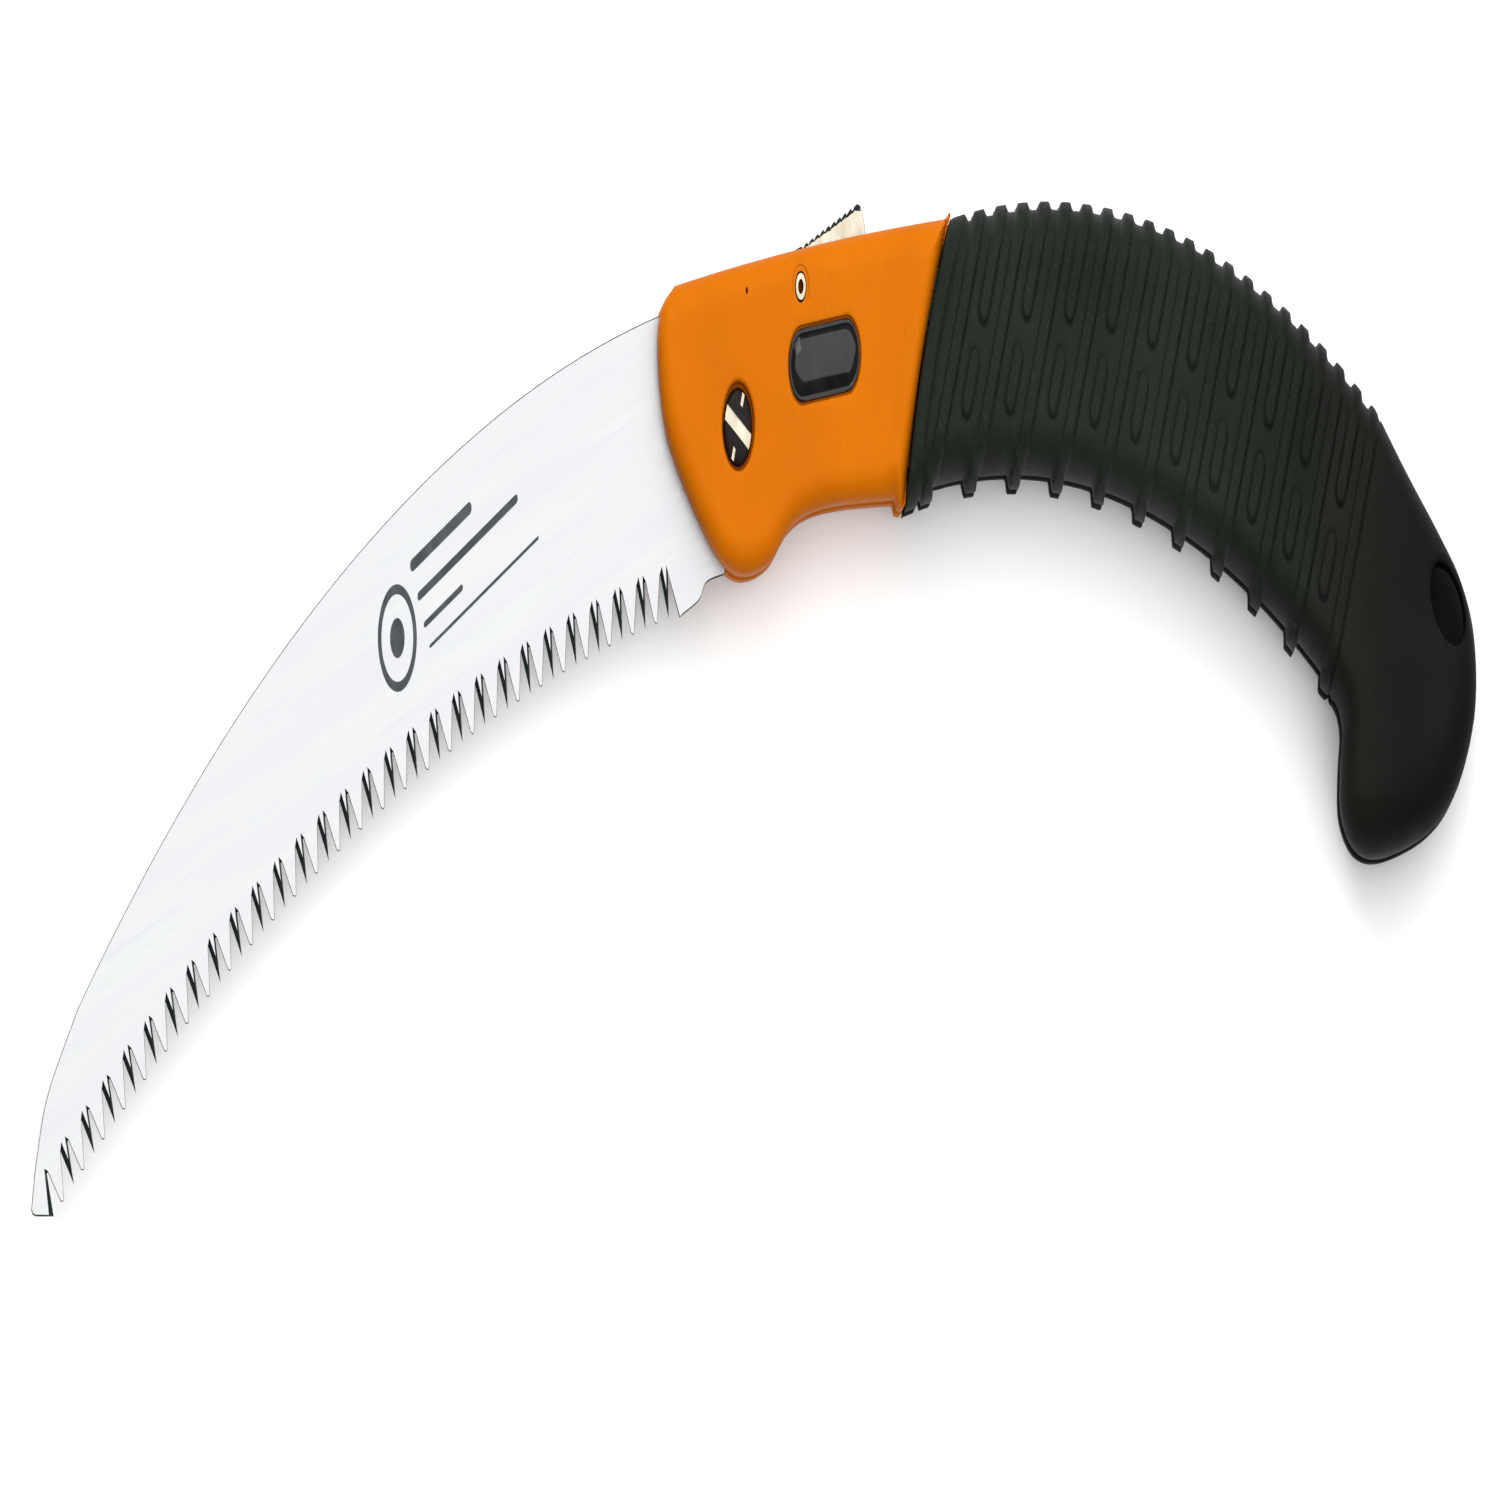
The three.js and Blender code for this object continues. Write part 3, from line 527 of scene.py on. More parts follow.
def shell(side):
    line = head_line()
    front = np.array(rubber_front(-0.05, 40, -20))
    rim = np.array([p for p in line if distance(np.array([p]), front, False)[0] > 0.6])
    core_base = resample(grip_line(), 0.8)
    ends = np.array(badge_ends())

    def height(places):
        to_front = distance(places, front, closed=False)
        to_rim = distance(places, rim, closed=False)
        z = CHEEK - rounded(to_rim, HEAD_EDGE, HEAD_DROP)
        z += COLLAR_RISE * np.clip(1 - to_front / FLARE, 0, 1) * step_up(to_rim, -1, 6)
        z -= rounded(to_front, LIP_EDGE, LIP_DROP)
        z += stepped(np.hypot(*places.T), PIVOT_RECESS)
        z += stepped(np.hypot(*(places - ROLL_PIN).T), PIN_DISH)
        z += stepped(np.hypot(*(places - STOP_PIN).T), VENT)
        z += stepped(distance(places, ends, closed=False) - BADGE_HEIGHT / 2, BADGE_RECESS)
        return z

    # The lever's well is open towards the spine. Its wall stands between these two rings.
    well = np.array([(12, 19), (24, 18.9), (47, 16.4), (47, 60), (12, 60)])
    well_ring = resample(well, 0.5)
    inner_ring = well_ring * 0.998

    def floor(places):
        to_line = distance(places, line)
        land = HEAD_SLOT + SLOT_CHAMFER * (1 - np.clip(to_line / SLOT_CHAMFER, 0, 1))
        z = np.where(to_line > SLOT_LAND, LINER_ROOM, land)
        return np.where(inside(places, [well]), np.maximum(z, LINER_ROOM), z)

    creases = [circle((0, 0), r, 64) for r, _ in PIVOT_RECESS[1:]]
    creases += [circle(ROLL_PIN, r, 40) for r, _ in PIN_DISH[1:]]
    creases += [circle(STOP_PIN, r, 16) for r, _ in VENT[1:]]
    creases += [capsule(*badge_ends(), BADGE_HEIGHT / 2 + r, 0.5) for r, _ in BADGE_RECESS[1:]]
    steps = [front + (-d, 0) for d in (0.2, 0.5, 0.9, *np.linspace(1.8, FLARE, 7))]
    points = [rings(line, round_depths(HEAD_EDGE)), *steps, grid(line, 2.2)]
    floor_points = [rings(line, (SLOT_CHAMFER, 1.08, 1.14)), well_ring, inner_ring, grid(line, 6)]
    head = relief([line], height, floor, points, floor_points, side, creases)

    core = core_base + normals(core_base) * CORE_INSET
    core = core[distance(core, core_base) > CORE_INSET * 0.97]
    core = resample(core[(core - on_spine(GRIP_LENGTH)) @ polar(1, SPINE_END_HEADING) < CORE_REACH], 0.9)

    def core_top(places):
        return CORE_HALF - rounded(distance(places, core), CORE_EDGE, CORE_EDGE)

    inner = relief([core], core_top, level(GRIP_SLOT - 0.06), [rings(core, (0.4, CORE_EDGE))], [], side)
    name = side_name(side)
    return put(f"head_{name}", *merged(head, inner), "handle", "shell_orange", f"handle_shell_{name}")


def bar_places(bars, offsets):
    """Places along both sides of each bar, and round its ends."""
    step = 0.9
    return [capsule(*bar, RIB_WIDTH / 2 + offset, step) for bar in bars for offset in offsets]


def grip(side):
    line = ribbed_line()
    is_front = front_gap(line) < 0.25
    rim = line[~is_front]
    gap_of_rim = np.argmax(np.hypot(*np.diff(np.vstack([rim, rim[:1]]), axis=0).T))
    rim = np.roll(rim, -gap_of_rim - 1, axis=0)
    holes = [lanyard_loop()] if side > 0 else []
    screws = [on_spine(place, SPACER_MIDDLE) for place in SCREW_PLACES] if side < 0 else []

    def height(places):
        to_rim = distance(places, rim, closed=False)
        pommel = in_pommel(places)
        far_back = step_up((places - on_spine(GRIP_LENGTH)) @ polar(1, POMMEL_HEADING), 0, POMMEL_REACH)
        edge = GRIP_EDGE + (POMMEL_EDGE - GRIP_EDGE) * far_back
        gap = np.minimum(bar_gap(places, FULL_RIBS), bar_gap(places, SHORT_RIBS))
        raised = 1 - step_up(gap, -0.5, 0.25)
        groove = GROOVE_DEPTH * np.exp(-(((gap - GROOVE_OFFSET) / GROOVE_WIDTH) ** 2))
        collar = 1 - step_up(front_gap(places), *FRONT_BAND)
        raised = np.maximum(raised, np.maximum(pommel, collar))
        groove = groove * (1 - pommel) * (1 - collar)
        z = GRIP_CHEEK - RIB_HEIGHT + RIB_HEIGHT * raised - groove - rounded(to_rim, edge, GRIP_DROP)
        z -= rounded(front_gap(places), FRONT_EDGE, FRONT_DROP)
        if side > 0:
            z -= rounded(distance(places, holes[0]), LANYARD_MOUTH, LANYARD_MOUTH)
        smooth_cheek = GRIP_CHEEK - RIB_HEIGHT - rounded(to_rim, edge, GRIP_DROP)
        for screw in screws:
            reach = np.hypot(*(places - screw).T)
            z = np.where(reach < SCREW_HOLE[-1][0], smooth_cheek + stepped(reach, SCREW_HOLE), z)
            z = np.where(reach < SCREW_FLOOR_RADIUS, CORE_HALF + 0.02, z)
        return z

    def floor(places):
        return GRIP_SLOT + 0.3 * (1 - np.clip(distance(places, line) / 0.3, 0, 1))

    front = np.array(rubber_front(0.3, 25, GRIP_FOOT_Y))
    points = [rings(line, round_depths(GRIP_EDGE, 8))]
    points += [front + (d, 0) for d in (0.15, 0.5, 1.1, 3.2, 3.8, 4.4)]
    points += bar_places(FULL_RIBS + SHORT_RIBS, (-0.9, -0.5, -0.25, 0, 0.22, 0.4, 0.58, 0.85))
    creases = [circle(screw, r, 36) for screw in screws for r, _ in SCREW_HOLE[1:]]
    if side > 0:
        creases = [within(lanyard_loop(d), line, 0.35) for d in (0.1, 0.4, 0.8, LANYARD_MOUTH)]
    points.append(grid(line, 2.0))
    floor_points = [rings(line, (0.3,)), grid(line, 9)]
    solid = relief([line, *holes], height, floor, points, floor_points, side, creases)
    name = side_name(side)
    return put(f"grip_{name}", *solid, "handle", "grip_rubber", f"rubber_grip_{name}", sharp=50)


def badge(side):
    a, b = badge_ends()
    line = capsule(a, b, BADGE_HEIGHT / 2, 0.4)
    base = CHEEK - PLAQUE_SEAT
    crown = BADGE_HEIGHT / 2 - PLAQUE_RIM
    dome_radius = (crown**2 + PLAQUE_RISE**2) / (2 * PLAQUE_RISE)

    def dome_drop(share):
        """How far the domed middle is below its crest, from its rim at 0 to the crest at 1."""
        return dome_radius - np.sqrt(dome_radius**2 - ((1 - share) * crown) ** 2)

    def height(places):
        depth = distance(places, line)
        share = np.clip((depth - PLAQUE_RIM) / crown, 0, 1)
        return base + stepped(depth, PLAQUE_EDGE) + dome_drop(0) - dome_drop(share)

    depths = [d for d, _ in PLAQUE_EDGE[1:]]
    depths += [PLAQUE_RIM + crown * share for share in (0.04, 0.1, 0.18, 0.28, 0.4, 0.54, 0.7, 0.86)]
    creases = [capsule(a, b, BADGE_HEIGHT / 2 - d, 0.4) for d in depths]
    solid = relief([line], height, level(base), [grid(line, 1.2)], [], side, creases)
    name = side_name(side)
    return put(f"plaque_{name}", *solid, "handle", "badge_black", f"badge_{name}", sharp=50)


def shank():
    """The closed shank that joins the two heads inside the bushing."""
    ring = circle((0, 0), SHANK_RADIUS, HUB_SIDES)
    vertices = [(*p, -RECESS_FLOOR) for p in ring] + [(*p, RECESS_FLOOR + 0.4) for p in ring]
    walls = []
    for i in range(HUB_SIDES):
        j = (i + 1) % HUB_SIDES
        walls.append((i, j, j + HUB_SIDES, i + HUB_SIDES))
    ends = [tuple(range(HUB_SIDES)), tuple(range(HUB_SIDES, 2 * HUB_SIDES))]
    return vertices, walls + ends


def screw(side, node):
    """A domed head with a slot and two short cross cuts. Its black is a painted dark reflection; the slot
    floor keeps the bright plate.
    """
    line = circle((0, 0), HEAD_RADIUS, 64)
    along = polar(1, SLOT_ANGLE)
    across = np.array([-along[1], along[0]])
    crown = RECESS_FLOOR + HEAD_CROWN

    def height(places):
        r = np.hypot(*places.T)
        z = crown - HEAD_DOME * (r / HEAD_RADIUS) ** 2 - rounded(HEAD_RADIUS - r, HEAD_DOME, HEAD_DOME)
        v, u = places @ across, places @ along
        z = np.where(np.abs(v) < SLOT_HALF, np.minimum(z, SLOT_FLOOR), z)
        return np.where((np.abs(u) < CUT_HALF) & (np.abs(v) > CUT_START), np.minimum(z, SLOT_FLOOR), z)

    lip = 0.02
    creases = []
    for v in (-SLOT_HALF - lip, -SLOT_HALF + lip, SLOT_HALF - lip, SLOT_HALF + lip):
        reach = math.sqrt(HEAD_RADIUS**2 - v**2) - 0.06
        creases.append(np.outer(np.linspace(-reach, reach, 30), along) + across * v)
    for way in (-1, 1):
        for grow in (-lip, lip):
            wide = CUT_HALF + grow
            reach = math.sqrt(HEAD_RADIUS**2 - wide**2) - 0.06
            sides = np.linspace(CUT_START - grow, reach, 8)
            corners = [(-wide, v) for v in sides[::-1]] + [(wide, v) for v in sides]
            creases.append(np.array([along * u + across * v * way for u, v in corners]))
    points = [rings(line, (0.14, 0.34, 0.6, 1.3, 2.2, 3.2, 4.2))]
    solid = relief([line], height, level(RECESS_FLOOR + 0.3), points, [], side, creases)
    if side > 0:
        solid = merged(solid, shank())
    return put(f"{node}_head", *solid, "handle", "nickel_plate", node, sharp=30)


def tooth_place(angle, depth, along=0.0):
    """A place by its angle round the tooth line's centre, and how far it is into the blade."""
    turn = angle + math.degrees(along / TOOTH_LINE_RADIUS)
    return TOOTH_LINE_CENTRE + polar(TOOTH_LINE_RADIUS + depth, turn)


def angle_at(x, centre_x, radius):
    return math.degrees(math.acos((x - centre_x) / radius))


def plain(places):
    """Rows of the blade's outline whose edge isn't ground."""
    return [(place, None, None, "edge") for place in places]


def blade_rings():
    """The blade's outline and its inward normals. Each row holds a place, where the near and the far
    face start beside it, and which face is ground away there."""
    start = angle_at(TOOTH_LINE_START_X, TOOTH_LINE_CENTRE[0], TOOTH_LINE_RADIUS)
    sweep = angle_at(TOOTH_LINE_END_X, TOOTH_LINE_CENTRE[0], TOOTH_LINE_RADIUS) - start
    pairs = round(math.radians(sweep) * TOOTH_LINE_RADIUS / TOOTH_PAIR_PITCH)
    step = sweep / pairs
    teeth = []
    pull, root = BEVEL_PULL, BEVEL_ROOT
    narrow = [
        (-0.079, TOOTH_DEPTH, (root, root * 0.6), (0, 0), "near"),
        (0, 0, (pull, 0.28), (0, 0), "near"),
        (0.245, TOOTH_DEPTH, (root, -root * 0.6), (0, 0), "near"),
    ]
    wide = [
        (0.275, TOOTH_DEPTH, (0, 0), (root, root * 0.6), "far"),
        (0.505, 0.05, (0, 0), (1.5, 0.3), "far"),
        (0.56, 0, (0, 0), (1.2, 0.15), "far"),
        (0.645, 0.4, (0, 0), (1.2, -0.2), "far"),
        (0.891, TOOTH_DEPTH, (0, 0), (root, -root * 0.6), "far"),
    ]
    for i in range(pairs + 1):
        for share, depth, near, far, ground in narrow + (wide if i < pairs else []):
            if i == pairs and share > 0:
                continue
            angle = start + step * (i + share)
            place = tooth_place(angle, depth)
            near_place = tooth_place(angle, depth + near[0], near[1])
            far_place = tooth_place(angle, depth + far[0], far[1])
            if i == pairs and share == 0:
                near_place = place + (-TIP_BEVEL, BLADE_EDGE)
            teeth.append((place, near_place, far_place, ground))
    back_y = TANG_SHOULDER - math.sqrt(BACK_RADIUS**2 - (SHOULDER_X - BACK_CENTRE_X) ** 2)
    back_start = angle_at(SHOULDER_X, BACK_CENTRE_X, BACK_RADIUS)
    back_end = angle_at(TOOTH_LINE_END_X + 8, BACK_CENTRE_X, BACK_RADIUS)
    back = arc(np.array([BACK_CENTRE_X, back_y]), BACK_RADIUS, back_start, back_end, 120)
    corner = tooth_place(start + sweep, 0) + (-TIP_WIDTH, 0.8)
    nose = smooth([back[-1], corner + (5.8, 14), corner + (2, 6.6), corner], 30)[1:]
    toe = [corner + (0.4, -0.55), corner + (1.4, -0.8)]
    heel = smooth([(-18.5, -22), (-12.2, -20), (-9.7, -17.9), (-3.8, -16.9)], 24) + [np.array([-3, -14.2])]
    rim = []
    for notch in (NOSE_ANGLE - FOLD_ANGLE, NOSE_ANGLE):
        low, high = notch - NOTCH_HALF_ANGLE, notch + NOTCH_HALF_ANGLE
        rim += [polar(TANG_RADIUS, low), polar(TANG_RADIUS - NOTCH_DEPTH, low)]
        rim += [polar(TANG_RADIUS - NOTCH_DEPTH, high), polar(TANG_RADIUS, high)]
        if notch < 0:
            rim += arc(np.zeros(2), TANG_RADIUS, high + 4, NOSE_ANGLE - NOTCH_HALF_ANGLE - 4, 40)
    shoulder = [np.array([SHOULDER_X, TANG_RADIUS - 0.2])]
    rows = plain(back + nose + toe) + teeth[::-1] + plain(heel + rim + shoulder)
    outline = np.array([row[0] for row in rows])
    inward = normals(outline)
    if is_clockwise(outline):
        inward = -inward
    return rows, inward


def blade():
    rows, inward = blade_rings()
    half = BLADE_HALF
    near_heights = {"near": -half + GROUND_EDGE, "far": half - BLADE_EDGE, "edge": half - BLADE_EDGE}
    far_heights = {"near": -half + BLADE_EDGE, "far": half - GROUND_EDGE, "edge": -half + BLADE_EDGE}
    near, near_edge, far_edge, far = [], [], [], []
    for (place, near_place, far_place, ground), normal in zip(rows, inward):
        chamfer = place + normal * BLADE_EDGE
        near.append((*(near_place if ground == "near" else chamfer), half))
        far.append((*(far_place if ground == "far" else chamfer), -half))
        near_edge.append((*place, near_heights[ground]))
        far_edge.append((*place, far_heights[ground]))
    count = len(rows)
    vertices = near + near_edge + far_edge + far
    faces = []
    for first in (0, count, 2 * count):
        for i in range(count):
            j = (i + 1) % count
            faces.append((first + i, first + j, first + count + j, first + count + i))
    bore = circle((0, 0), BORE_RADIUS, HUB_SIDES)
    bore_rims = []
    for ring, z in ((near, half), (far, -half)):
        flat = np.array([v[:2] for v in ring])
        made, triangles, rims = surface([flat, bore], [])
        offset = len(vertices)
        vertices += [(*p, z) for p in made]
        faces += [tuple(f + offset) for f in triangles]
        bore_rims.append([offset + i for i in rims[1]])
    top_bore, low_bore = bore_rims
    for i in range(len(bore)):
        j = (i + 1) % len(bore)
        faces.append((top_bore[i], top_bore[j], low_bore[j], low_bore[i]))
    piece = put("blade_steel", vertices, faces, "blade", "blade_steel", "blade", sharp=12)
    # The faces were meshed apart from the edges, so their shared points are joined here.
    bm = bmesh.new()
    bm.from_mesh(piece.data)
    bmesh.ops.remove_doubles(bm, verts=bm.verts, dist=1e-7)
    bmesh.ops.recalc_face_normals(bm, faces=bm.faces)
    bm.to_mesh(piece.data)
    bm.free()
    return piece


RAMP_REAR = np.array([39.6, 26.9])
RAMP_FRONT = np.array([21.6, 21.9])
RAMP_TEETH = 10
RAMP_NOTCH = 0.45
LEVER_BODY_HALF = 1.45
LEVER_BOSS = 3.6
NOSE_HALF_WIDTH = 1.6


def serrations():
    """The thumb ramp's saw-tooth edge, from its rear to its front."""
    step = (RAMP_FRONT - RAMP_REAR) / RAMP_TEETH
    points = []
    for i in range(RAMP_TEETH):
        at = RAMP_REAR + step * i
        points += [at, at + step * 0.45 + (0.05, -0.1), at + step * 0.8 + (0, -RAMP_NOTCH)]
    return [*points, RAMP_FRONT]


def two_sided(line, half, edge, extra=()):
    """A plate about the middle plane, with both edges softly rounded."""
    def height(places):
        return half - rounded(distance(places, line), edge, edge)

    def floor(places):
        return -height(places)

    points = [rings(line, round_depths(edge, 4)), *extra]
    return relief([line], height, floor, points, points)


def lever():
    def on_nose(radius, across):
        return polar(radius, NOSE_ANGLE) + polar(across * NOSE_HALF_WIDTH, NOSE_ANGLE - 90)

    reach, root = TANG_RADIUS + 0.3, TANG_RADIUS + 3.5
    ramp = serrations()
    rear = [np.array(p) for p in ((42.6, 22.8), (42.2, 24.6), (41.4, 26.1), (40.6, 26.8))]
    body = [
        on_nose(root, -1), on_nose(reach, -1), on_nose(reach, 1), on_nose(root, 1),
        *arc(ROLL_PIN, LEVER_BOSS, -125, -62, 12),
        np.array((30, 15.4)), np.array((40.6, 18.2)), *rear, *ramp,
        np.array((15, 20.6)), np.array((9.4, 18)),
    ]
    pad = [np.array((19, 19.7)), np.array((41.8, 20.8)), *rear, *ramp, np.array((15.4, 20.6))]
    hole = circle(ROLL_PIN, ROLL_PIN_HOLE, 32)
    plate = relief([resample(body, 0.3), hole], level(LEVER_BODY_HALF), level(-LEVER_BODY_HALF))
    solid = merged(plate, two_sided(resample(pad, 0.22), LEVER_PAD_HALF, 0.4))
    return put("thumb_lever", *solid, "lock_lever", "nickel_plate", "lock_lever", sharp=35)


MARK_CENTRE = np.array([-111.0, -24.5])
MARK_HEADING = 20
INK_RISE = 0.012                # the print stands this proud, and is sunk this far
INK_ROOT = 0.01
# how far out and up from the mark's centre each bar starts, its length and its width
MARK_BARS = [(7.6, 6.4, 20, 1.5), (8.4, 2.2, 34, 1.1), (9.0, -1.6, 13, 0.8), (9.6, -4.6, 38, 0.45)]


def print_mark():
    """A plain generic print on the blade: a ring and dot beside four bars, without any lettering."""
    top, floor = level(BLADE_HALF + INK_RISE), level(BLADE_HALF - INK_ROOT)
    along = polar(1, MARK_HEADING)
    across = np.array([-along[1], along[0]])
    solids = [
        relief([circle(MARK_CENTRE, 6.4, 64), circle(MARK_CENTRE, 5.2, 64)], top, floor),
        relief([circle(MARK_CENTRE, 2.4, 32)], top, floor),
    ]
    for out, rise, length, width in MARK_BARS:
        start = MARK_CENTRE + along * out + across * rise
        solids.append(relief([capsule(start, start + along * length, width / 2)], top, floor))
    return put("blade_print", *merged(*solids), "blade", None)


# ---- Materials ----
def nodes_of(name, colour, roughness, metallic=0.0):
    """A new material, its shader and a maker of wired nodes."""
    made = bpy.data.materials.new(name)
    made.use_nodes = True
    tree = made.node_tree
    shader = tree.nodes["Principled BSDF"]
    shader.inputs["Base Color"].default_value = (*colour, 1)
    shader.inputs["Roughness"].default_value = roughness
    shader.inputs["Metallic"].default_value = metallic
    return made, tree, shader


def noise(tree, scale, detail=4.0, stretch=(1, 1, 1), turn=0.0):
    """Noise over the piece, its cells about 1/scale metres wide times stretch, and turned in degrees."""
    place = tree.nodes.new("ShaderNodeTexCoord")
    mapping = tree.nodes.new("ShaderNodeMapping")
    mapping.vector_type = "TEXTURE"
    mapping.inputs["Scale"].default_value = stretch
    mapping.inputs["Rotation"].default_value = (0, 0, math.radians(turn))
    texture = tree.nodes.new("ShaderNodeTexNoise")
    texture.inputs["Scale"].default_value = scale
    texture.inputs["Detail"].default_value = detail
    tree.links.new(place.outputs["Object"], mapping.inputs["Vector"])
    tree.links.new(mapping.outputs["Vector"], texture.inputs["Vector"])
    return texture.outputs["Fac"]


def spread(tree, source, low, high, start=0.3, end=0.7):
    """The source's middle range, spread over low to high."""
    node = tree.nodes.new("ShaderNodeMapRange")
    node.inputs["From Min"].default_value = start
    node.inputs["From Max"].default_value = end
    node.inputs["To Min"].default_value = low
    node.inputs["To Max"].default_value = high
    tree.links.new(source, node.inputs["Value"])
    return node.outputs["Result"]


def mixed(tree, amount, one, other):
    """A colour between two, each a triple or another node's colour."""
    node = tree.nodes.new("ShaderNodeMix")
    node.data_type = "RGBA"
    tree.links.new(amount, node.inputs["Factor"])
    for socket, value in ((node.inputs["A"], one), (node.inputs["B"], other)):
        if isinstance(value, tuple):
            socket.default_value = (*value, 1)
        else:
            tree.links.new(value, socket)
    return node.outputs["Result"]


def bump(tree, shader, *layers):
    """Stacks (height source, distance in metres, strength) layers on the shader's normal."""
    last = None
    for source, depth, strength in layers:
        node = tree.nodes.new("ShaderNodeBump")
        node.inputs["Distance"].default_value = depth
        node.inputs["Strength"].default_value = strength
        tree.links.new(source, node.inputs["Height"])
        if last:
            tree.links.new(last, node.inputs["Normal"])
        last = node.outputs["Normal"]
    tree.links.new(last, shader.inputs["Normal"])


def orange_enamel():
    made, tree, shader = nodes_of("orange_enamel", (0.6, 0.15, 0.001), 0.45)
    mottle = spread(tree, noise(tree, 45, 3), 0, 1)
    speck = spread(tree, noise(tree, 900, 2), 0, 0.35, 0.62, 0.8)
    base = mixed(tree, mottle, (0.505, 0.126, 0.0008), (0.465, 0.112, 0.0008))
    tree.links.new(mixed(tree, speck, base, (0.34, 0.07, 0.0008)), shader.inputs["Base Color"])
    tree.links.new(spread(tree, noise(tree, 160, 3), 0.36, 0.5), shader.inputs["Roughness"])
    bump(tree, shader, (noise(tree, 650, 2), 0.00003, 0.5), (noise(tree, 2600, 2), 0.00001, 0.4))
    shader.inputs["Specular IOR Level"].default_value = 0.03
    return made


def moulded_rubber():
    made, tree, shader = nodes_of("moulded_rubber", (0.02, 0.025, 0.02), 0.62)
    patch = spread(tree, noise(tree, 26, 4), 0, 1)
    dust = spread(tree, noise(tree, 1400, 3), 0, 0.5, 0.55, 0.8)
    base = mixed(tree, patch, (0.0078, 0.0108, 0.0074), (0.0112, 0.0146, 0.0105))
    worn = mixed(tree, dust, base, (0.024, 0.028, 0.022))
    # The rubber grows darker towards the pommel, from 0.15 to 0.215 m along X.
    place = tree.nodes.new("ShaderNodeTexCoord")
    split = tree.nodes.new("ShaderNodeSeparateXYZ")
    tree.links.new(place.outputs["Object"], split.inputs["Vector"])
    darker_to_pommel = spread(tree, split.outputs["X"], 0, 0.8, 0.15, 0.215)
    tree.links.new(mixed(tree, darker_to_pommel, worn, (0.0018, 0.0016, 0.001)), shader.inputs["Base Color"])
    tree.links.new(spread(tree, noise(tree, 70, 3), 0.52, 0.7), shader.inputs["Roughness"])
    bump(tree, shader, (noise(tree, 1900, 3), 0.00004, 0.55), (noise(tree, 300, 2), 0.00005, 0.25))
    shader.inputs["Specular IOR Level"].default_value = 0.075
    return made


BRUSHED_ANGLE = 14              # the brushing slants a little across the blade


def brushed_steel():
    made, tree, shader = nodes_of("brushed_steel", (0.52, 0.53, 0.54), 0.36, 0.5)
    fine = noise(tree, 900, 3, (28, 1, 1), BRUSHED_ANGLE)
    broad = noise(tree, 220, 3, (20, 1, 1), BRUSHED_ANGLE)
    tone = mixed(tree, spread(tree, fine, 0, 1, 0.25, 0.75), (0.394, 0.406, 0.416), (0.466, 0.472, 0.472))
    base = mixed(tree, spread(tree, broad, 0, 0.5), tone, (0.41, 0.406, 0.43))
    tree.links.new(base, shader.inputs["Base Color"])
    tree.links.new(spread(tree, fine, 0.26, 0.42), shader.inputs["Roughness"])
    bump(tree, shader, (fine, 0.000012, 0.5))
    return made


# Near-black steel for the blade's bevels and edge walls and the lever's ramp: painted shade standing in
# for their dark reflections. The fine lines are real grinding marks.
def painted_shade_steel():
    made, tree, shader = nodes_of("painted_shade_steel", (0.01, 0.015, 0.016), 0.45)
    lines = noise(tree, 3500, 2, (1, 16, 1), 20)
    base = mixed(tree, spread(tree, lines, 0, 1), (0.004, 0.008, 0.009), (0.016, 0.023, 0.025))
    tree.links.new(base, shader.inputs["Base Color"])
    bump(tree, shader, (lines, 0.00001, 0.5))
    shader.inputs["Specular IOR Level"].default_value = 0.06
    return made


def plated(name, light, dark, roughness, grain=1500):
    made, tree, shader = nodes_of(name, light, roughness, 1.0)
    patch = noise(tree, 320, 4)
    tree.links.new(mixed(tree, spread(tree, patch, 0, 1), light, dark), shader.inputs["Base Color"])
    dull = spread(tree, noise(tree, 500, 3), roughness - 0.08, roughness + 0.12)
    tree.links.new(dull, shader.inputs["Roughness"])
    bump(tree, shader, (noise(tree, grain, 3), 0.000015, 0.5))
    return made


def moulded_black(name, colour, roughness, shine=0.25):
    made, tree, shader = nodes_of(name, colour, roughness)
    lighter = tuple(min(1, c * 1.7 + 0.004) for c in colour)
    patch = spread(tree, noise(tree, 240, 3), 0, 1)
    tree.links.new(mixed(tree, patch, colour, lighter), shader.inputs["Base Color"])
    dull = spread(tree, noise(tree, 420, 3), roughness * 0.8, roughness * 1.25)
    tree.links.new(dull, shader.inputs["Roughness"])
    bump(tree, shader, (noise(tree, 1100, 2), 0.00001, 0.3))
    shader.inputs["Specular IOR Level"].default_value = shine
    return made


def dress(thing, *looks):
    thing.data.materials.clear()
    for look in looks:
        thing.data.materials.append(look)


orange = orange_enamel()
rubber = moulded_rubber()
steel = brushed_steel()
# ground is the near-black steel that paints shade on the blade's bevels and edges and in the lever's ramp.
ground = painted_shade_steel()
nickel = plated("nickel_plate", (0.44, 0.405, 0.325), (0.33, 0.295, 0.225), 0.28)
zinc = plated("zinc_plate", (0.42, 0.43, 0.44), (0.3, 0.31, 0.33), 0.4)
bronze = plated("bearing_bronze", (0.5, 0.3, 0.12), (0.34, 0.2, 0.08), 0.42)
spring = plated("spring_steel", (0.2, 0.2, 0.21), (0.1, 0.1, 0.11), 0.38)
gloss = moulded_black("gloss_black", (0.004, 0.0035, 0.004), 0.1, 0.3)
# The screw heads' black stands for the plated screw's dark reflections: a painted dark reflection.
painted_dark_head = moulded_black("painted_dark_screw_head", (0.006, 0.004, 0.004), 0.42, 0.08)
plastic = moulded_black("black_plastic", (0.014, 0.015, 0.014), 0.5)
ink = moulded_black("printed_ink", (0.028, 0.034, 0.036), 0.6)

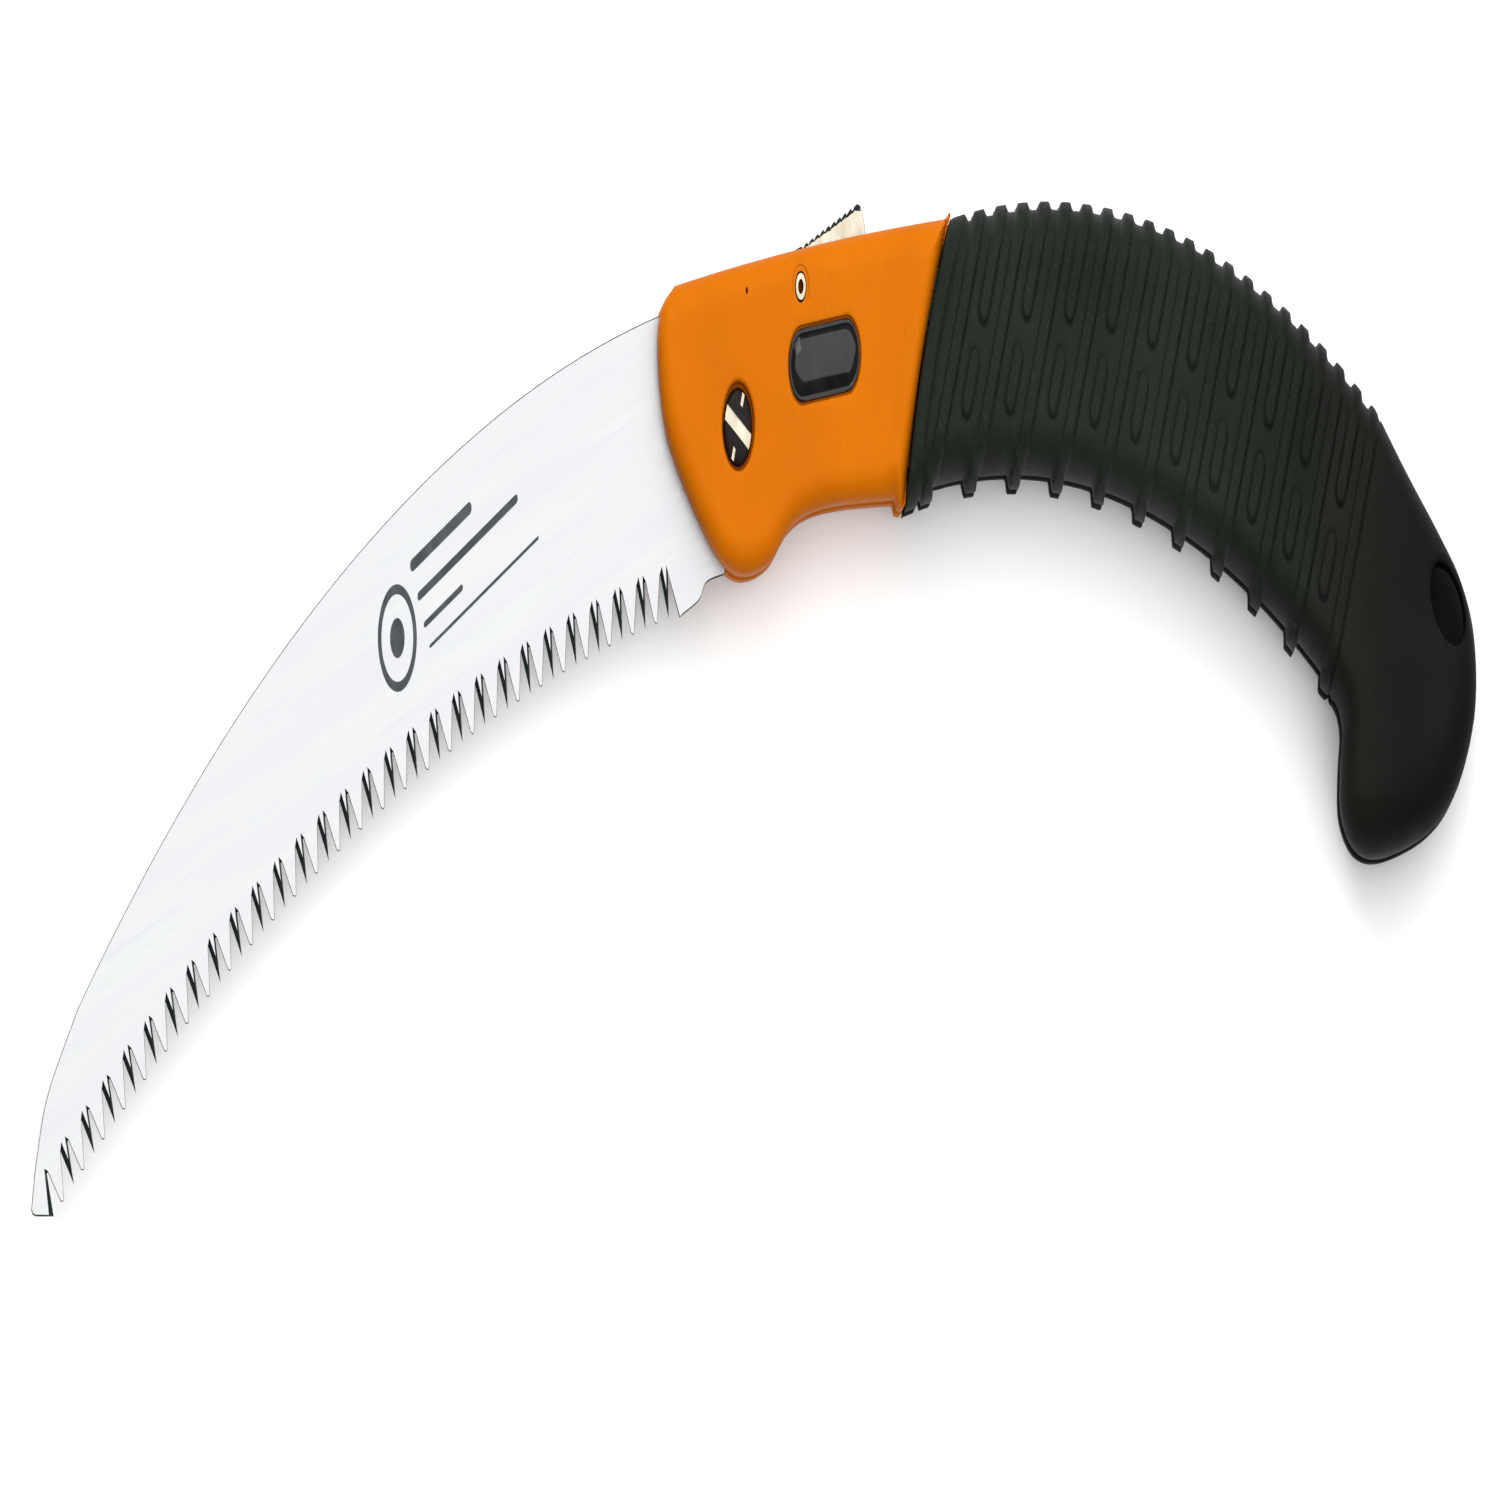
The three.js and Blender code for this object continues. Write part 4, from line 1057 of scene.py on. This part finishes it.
for side in (1, -1):
    dress(shell(side), orange)
    dress(grip(side), rubber)
    dress(badge(side), gloss)

for side, node in ((1, "pivot_screw"), (-1, "pivot_nut")):
    head = screw(side, node)
    dress(head, painted_dark_head, nickel)
    # Every face but the slot floor gets the black, a painted dark reflection; the slot floor keeps the
    # bright plate.
    for face in head.data.polygons:
        reach = math.hypot(face.center.x - PIVOT.x, face.center.y - PIVOT.y) / MM
        height = abs(face.center.z - PIVOT.z) / MM
        face.material_index = 1 if abs(height - SLOT_FLOOR) < 0.05 and reach < HEAD_RADIUS - 0.1 else 0

saw_blade = blade()
dress(saw_blade, steel, ground)
FLAT = 0.999                    # a normal this upright belongs to a flat face of the blade
# Faces that aren't flat, the ground bevels and the edge walls, get the near-black steel as painted shade.
for face in saw_blade.data.polygons:
    flat = abs(face.normal.z) > FLAT
    face.use_smooth = False
    face.material_index = 0 if flat else 1

thumb = lever()
dress(thumb, nickel, ground)
RAMP_SHADE_BAND = 0.5                 # faces this near the ramp's line get the near-black steel: painted shade in the serrations
ramp_line = np.array([RAMP_REAR + (1.2, -0.1), RAMP_FRONT, np.array((15.4, 20.6))])
middles = np.array([face.center for face in thumb.data.polygons])
to_ramp = distance((middles[:, :2] - np.array(PIVOT[:2])) / MM, ramp_line, closed=False)
for face, gap in zip(thumb.data.polygons, to_ramp):
    face.material_index = 1 if gap < RAMP_SHADE_BAND else 0
dress(print_mark(), ink)

CARRIED = {
    "liner_near": zinc, "liner_far": zinc, "spine_spacer": plastic, "handle_screw_1": zinc,
    "handle_screw_2": zinc, "handle_screw_3": zinc, "pivot_bushing": bronze, "thrust_washer_near": bronze,
    "thrust_washer_far": bronze, "lever_roll_pin": nickel, "lever_spring": spring,
    "spring_anchor_pin": zinc, "blade_stop_pin": spring,
}
SOFT_EDGE = 0.15 * MM
for node, look in CARRIED.items():
    thing = frame["nodes"][node]
    dress(thing, look)
    soften = thing.modifiers.new("soft_edges", "BEVEL")
    soften.width = SOFT_EDGE
    soften.segments = 2
    soften.limit_method = "ANGLE"
    soften.angle_limit = math.radians(40)

# ---- Floor, light and camera ----
FLOOR_SIZE = 2.0
floor_mesh = bpy.data.meshes.new("floor")
edge = FLOOR_SIZE / 2
corners = [(-edge, -edge, 0), (edge, -edge, 0), (edge, edge, 0), (-edge, edge, 0)]
floor_mesh.from_pydata(corners, [], [(0, 1, 2, 3)])
ground_plane = bpy.data.objects.new("floor", floor_mesh)
bpy.context.scene.collection.objects.link(ground_plane)
pale, tree, shader = nodes_of("pale_floor", (0.93, 0.93, 0.93), 0.7)
cloudy = mixed(tree, noise(tree, 3, 2), (0.93, 0.93, 0.93), (0.92, 0.92, 0.92))
tree.links.new(cloudy, shader.inputs["Base Color"])
dress(ground_plane, pale)

# The room is pale to the camera, and only a dim fill to the saw.
world = bpy.data.worlds.new("studio")
world.use_nodes = True
studio = world.node_tree.nodes["Background"]
studio.inputs["Strength"].default_value = 1
tint = world.node_tree.nodes.new("ShaderNodeMix")
tint.data_type = "RGBA"
tint.inputs["A"].default_value = (0.2, 0.2, 0.2, 1)
tint.inputs["B"].default_value = (1, 1, 1, 1)
rays = world.node_tree.nodes.new("ShaderNodeLightPath")
world.node_tree.links.new(rays.outputs["Is Camera Ray"], tint.inputs["Factor"])
world.node_tree.links.new(tint.outputs["Result"], studio.inputs["Color"])
bpy.context.scene.world = world


def soft_light(name, place, size, power):
    data = bpy.data.lights.new(name, "AREA")
    data.shape = "SQUARE"
    data.size = size
    data.energy = power
    lamp = bpy.data.objects.new(name, data)
    lamp.location = place
    lamp.rotation_mode = "QUATERNION"
    lamp.rotation_quaternion = (Vector(place)).to_track_quat("Z", "Y")
    bpy.context.scene.collection.objects.link(lamp)


soft_light("overhead", (0.28, 0.5, 1.7), 3.6, 97)
soft_light("from_the_spine", (-0.5, 1.1, 0.9), 0.8, 6)

# The camera looks almost straight down. Its picture's up axis leans along the line of sight, which
# stretches the picture upwards, so that round parts look tall, and leaves the saw its true shape.
STRETCH = 2.75
VIEW_WIDTH = 0.4886
CAMERA_DISTANCE = 0.6
AIM = Vector((-0.0008, -0.0047, PIVOT.z))
CAMERA_SIDE = Vector((-0.105, -0.08, 1))
back = CAMERA_SIDE.normalized()
right = (Vector((1, 0, 0)) - back * back.x).normalized()
up = back.cross(right) / STRETCH + back * math.sqrt(1 - 1 / STRETCH**2)
lens = bpy.data.cameras.new("camera")
lens.type = "ORTHO"
lens.ortho_scale = VIEW_WIDTH
camera = bpy.data.objects.new("camera", lens)
rig = bpy.data.objects.new("camera_rig", None)
for thing in (rig, camera):
    bpy.context.scene.collection.objects.link(thing)
camera.parent = rig
camera.matrix_parent_inverse = Matrix(
    [[*row] for row in zip(right, up, back, AIM + back * CAMERA_DISTANCE)] + [[0, 0, 0, 1]]
)
bpy.context.scene.camera = camera
bpy.context.scene.view_settings.view_transform = "Standard"
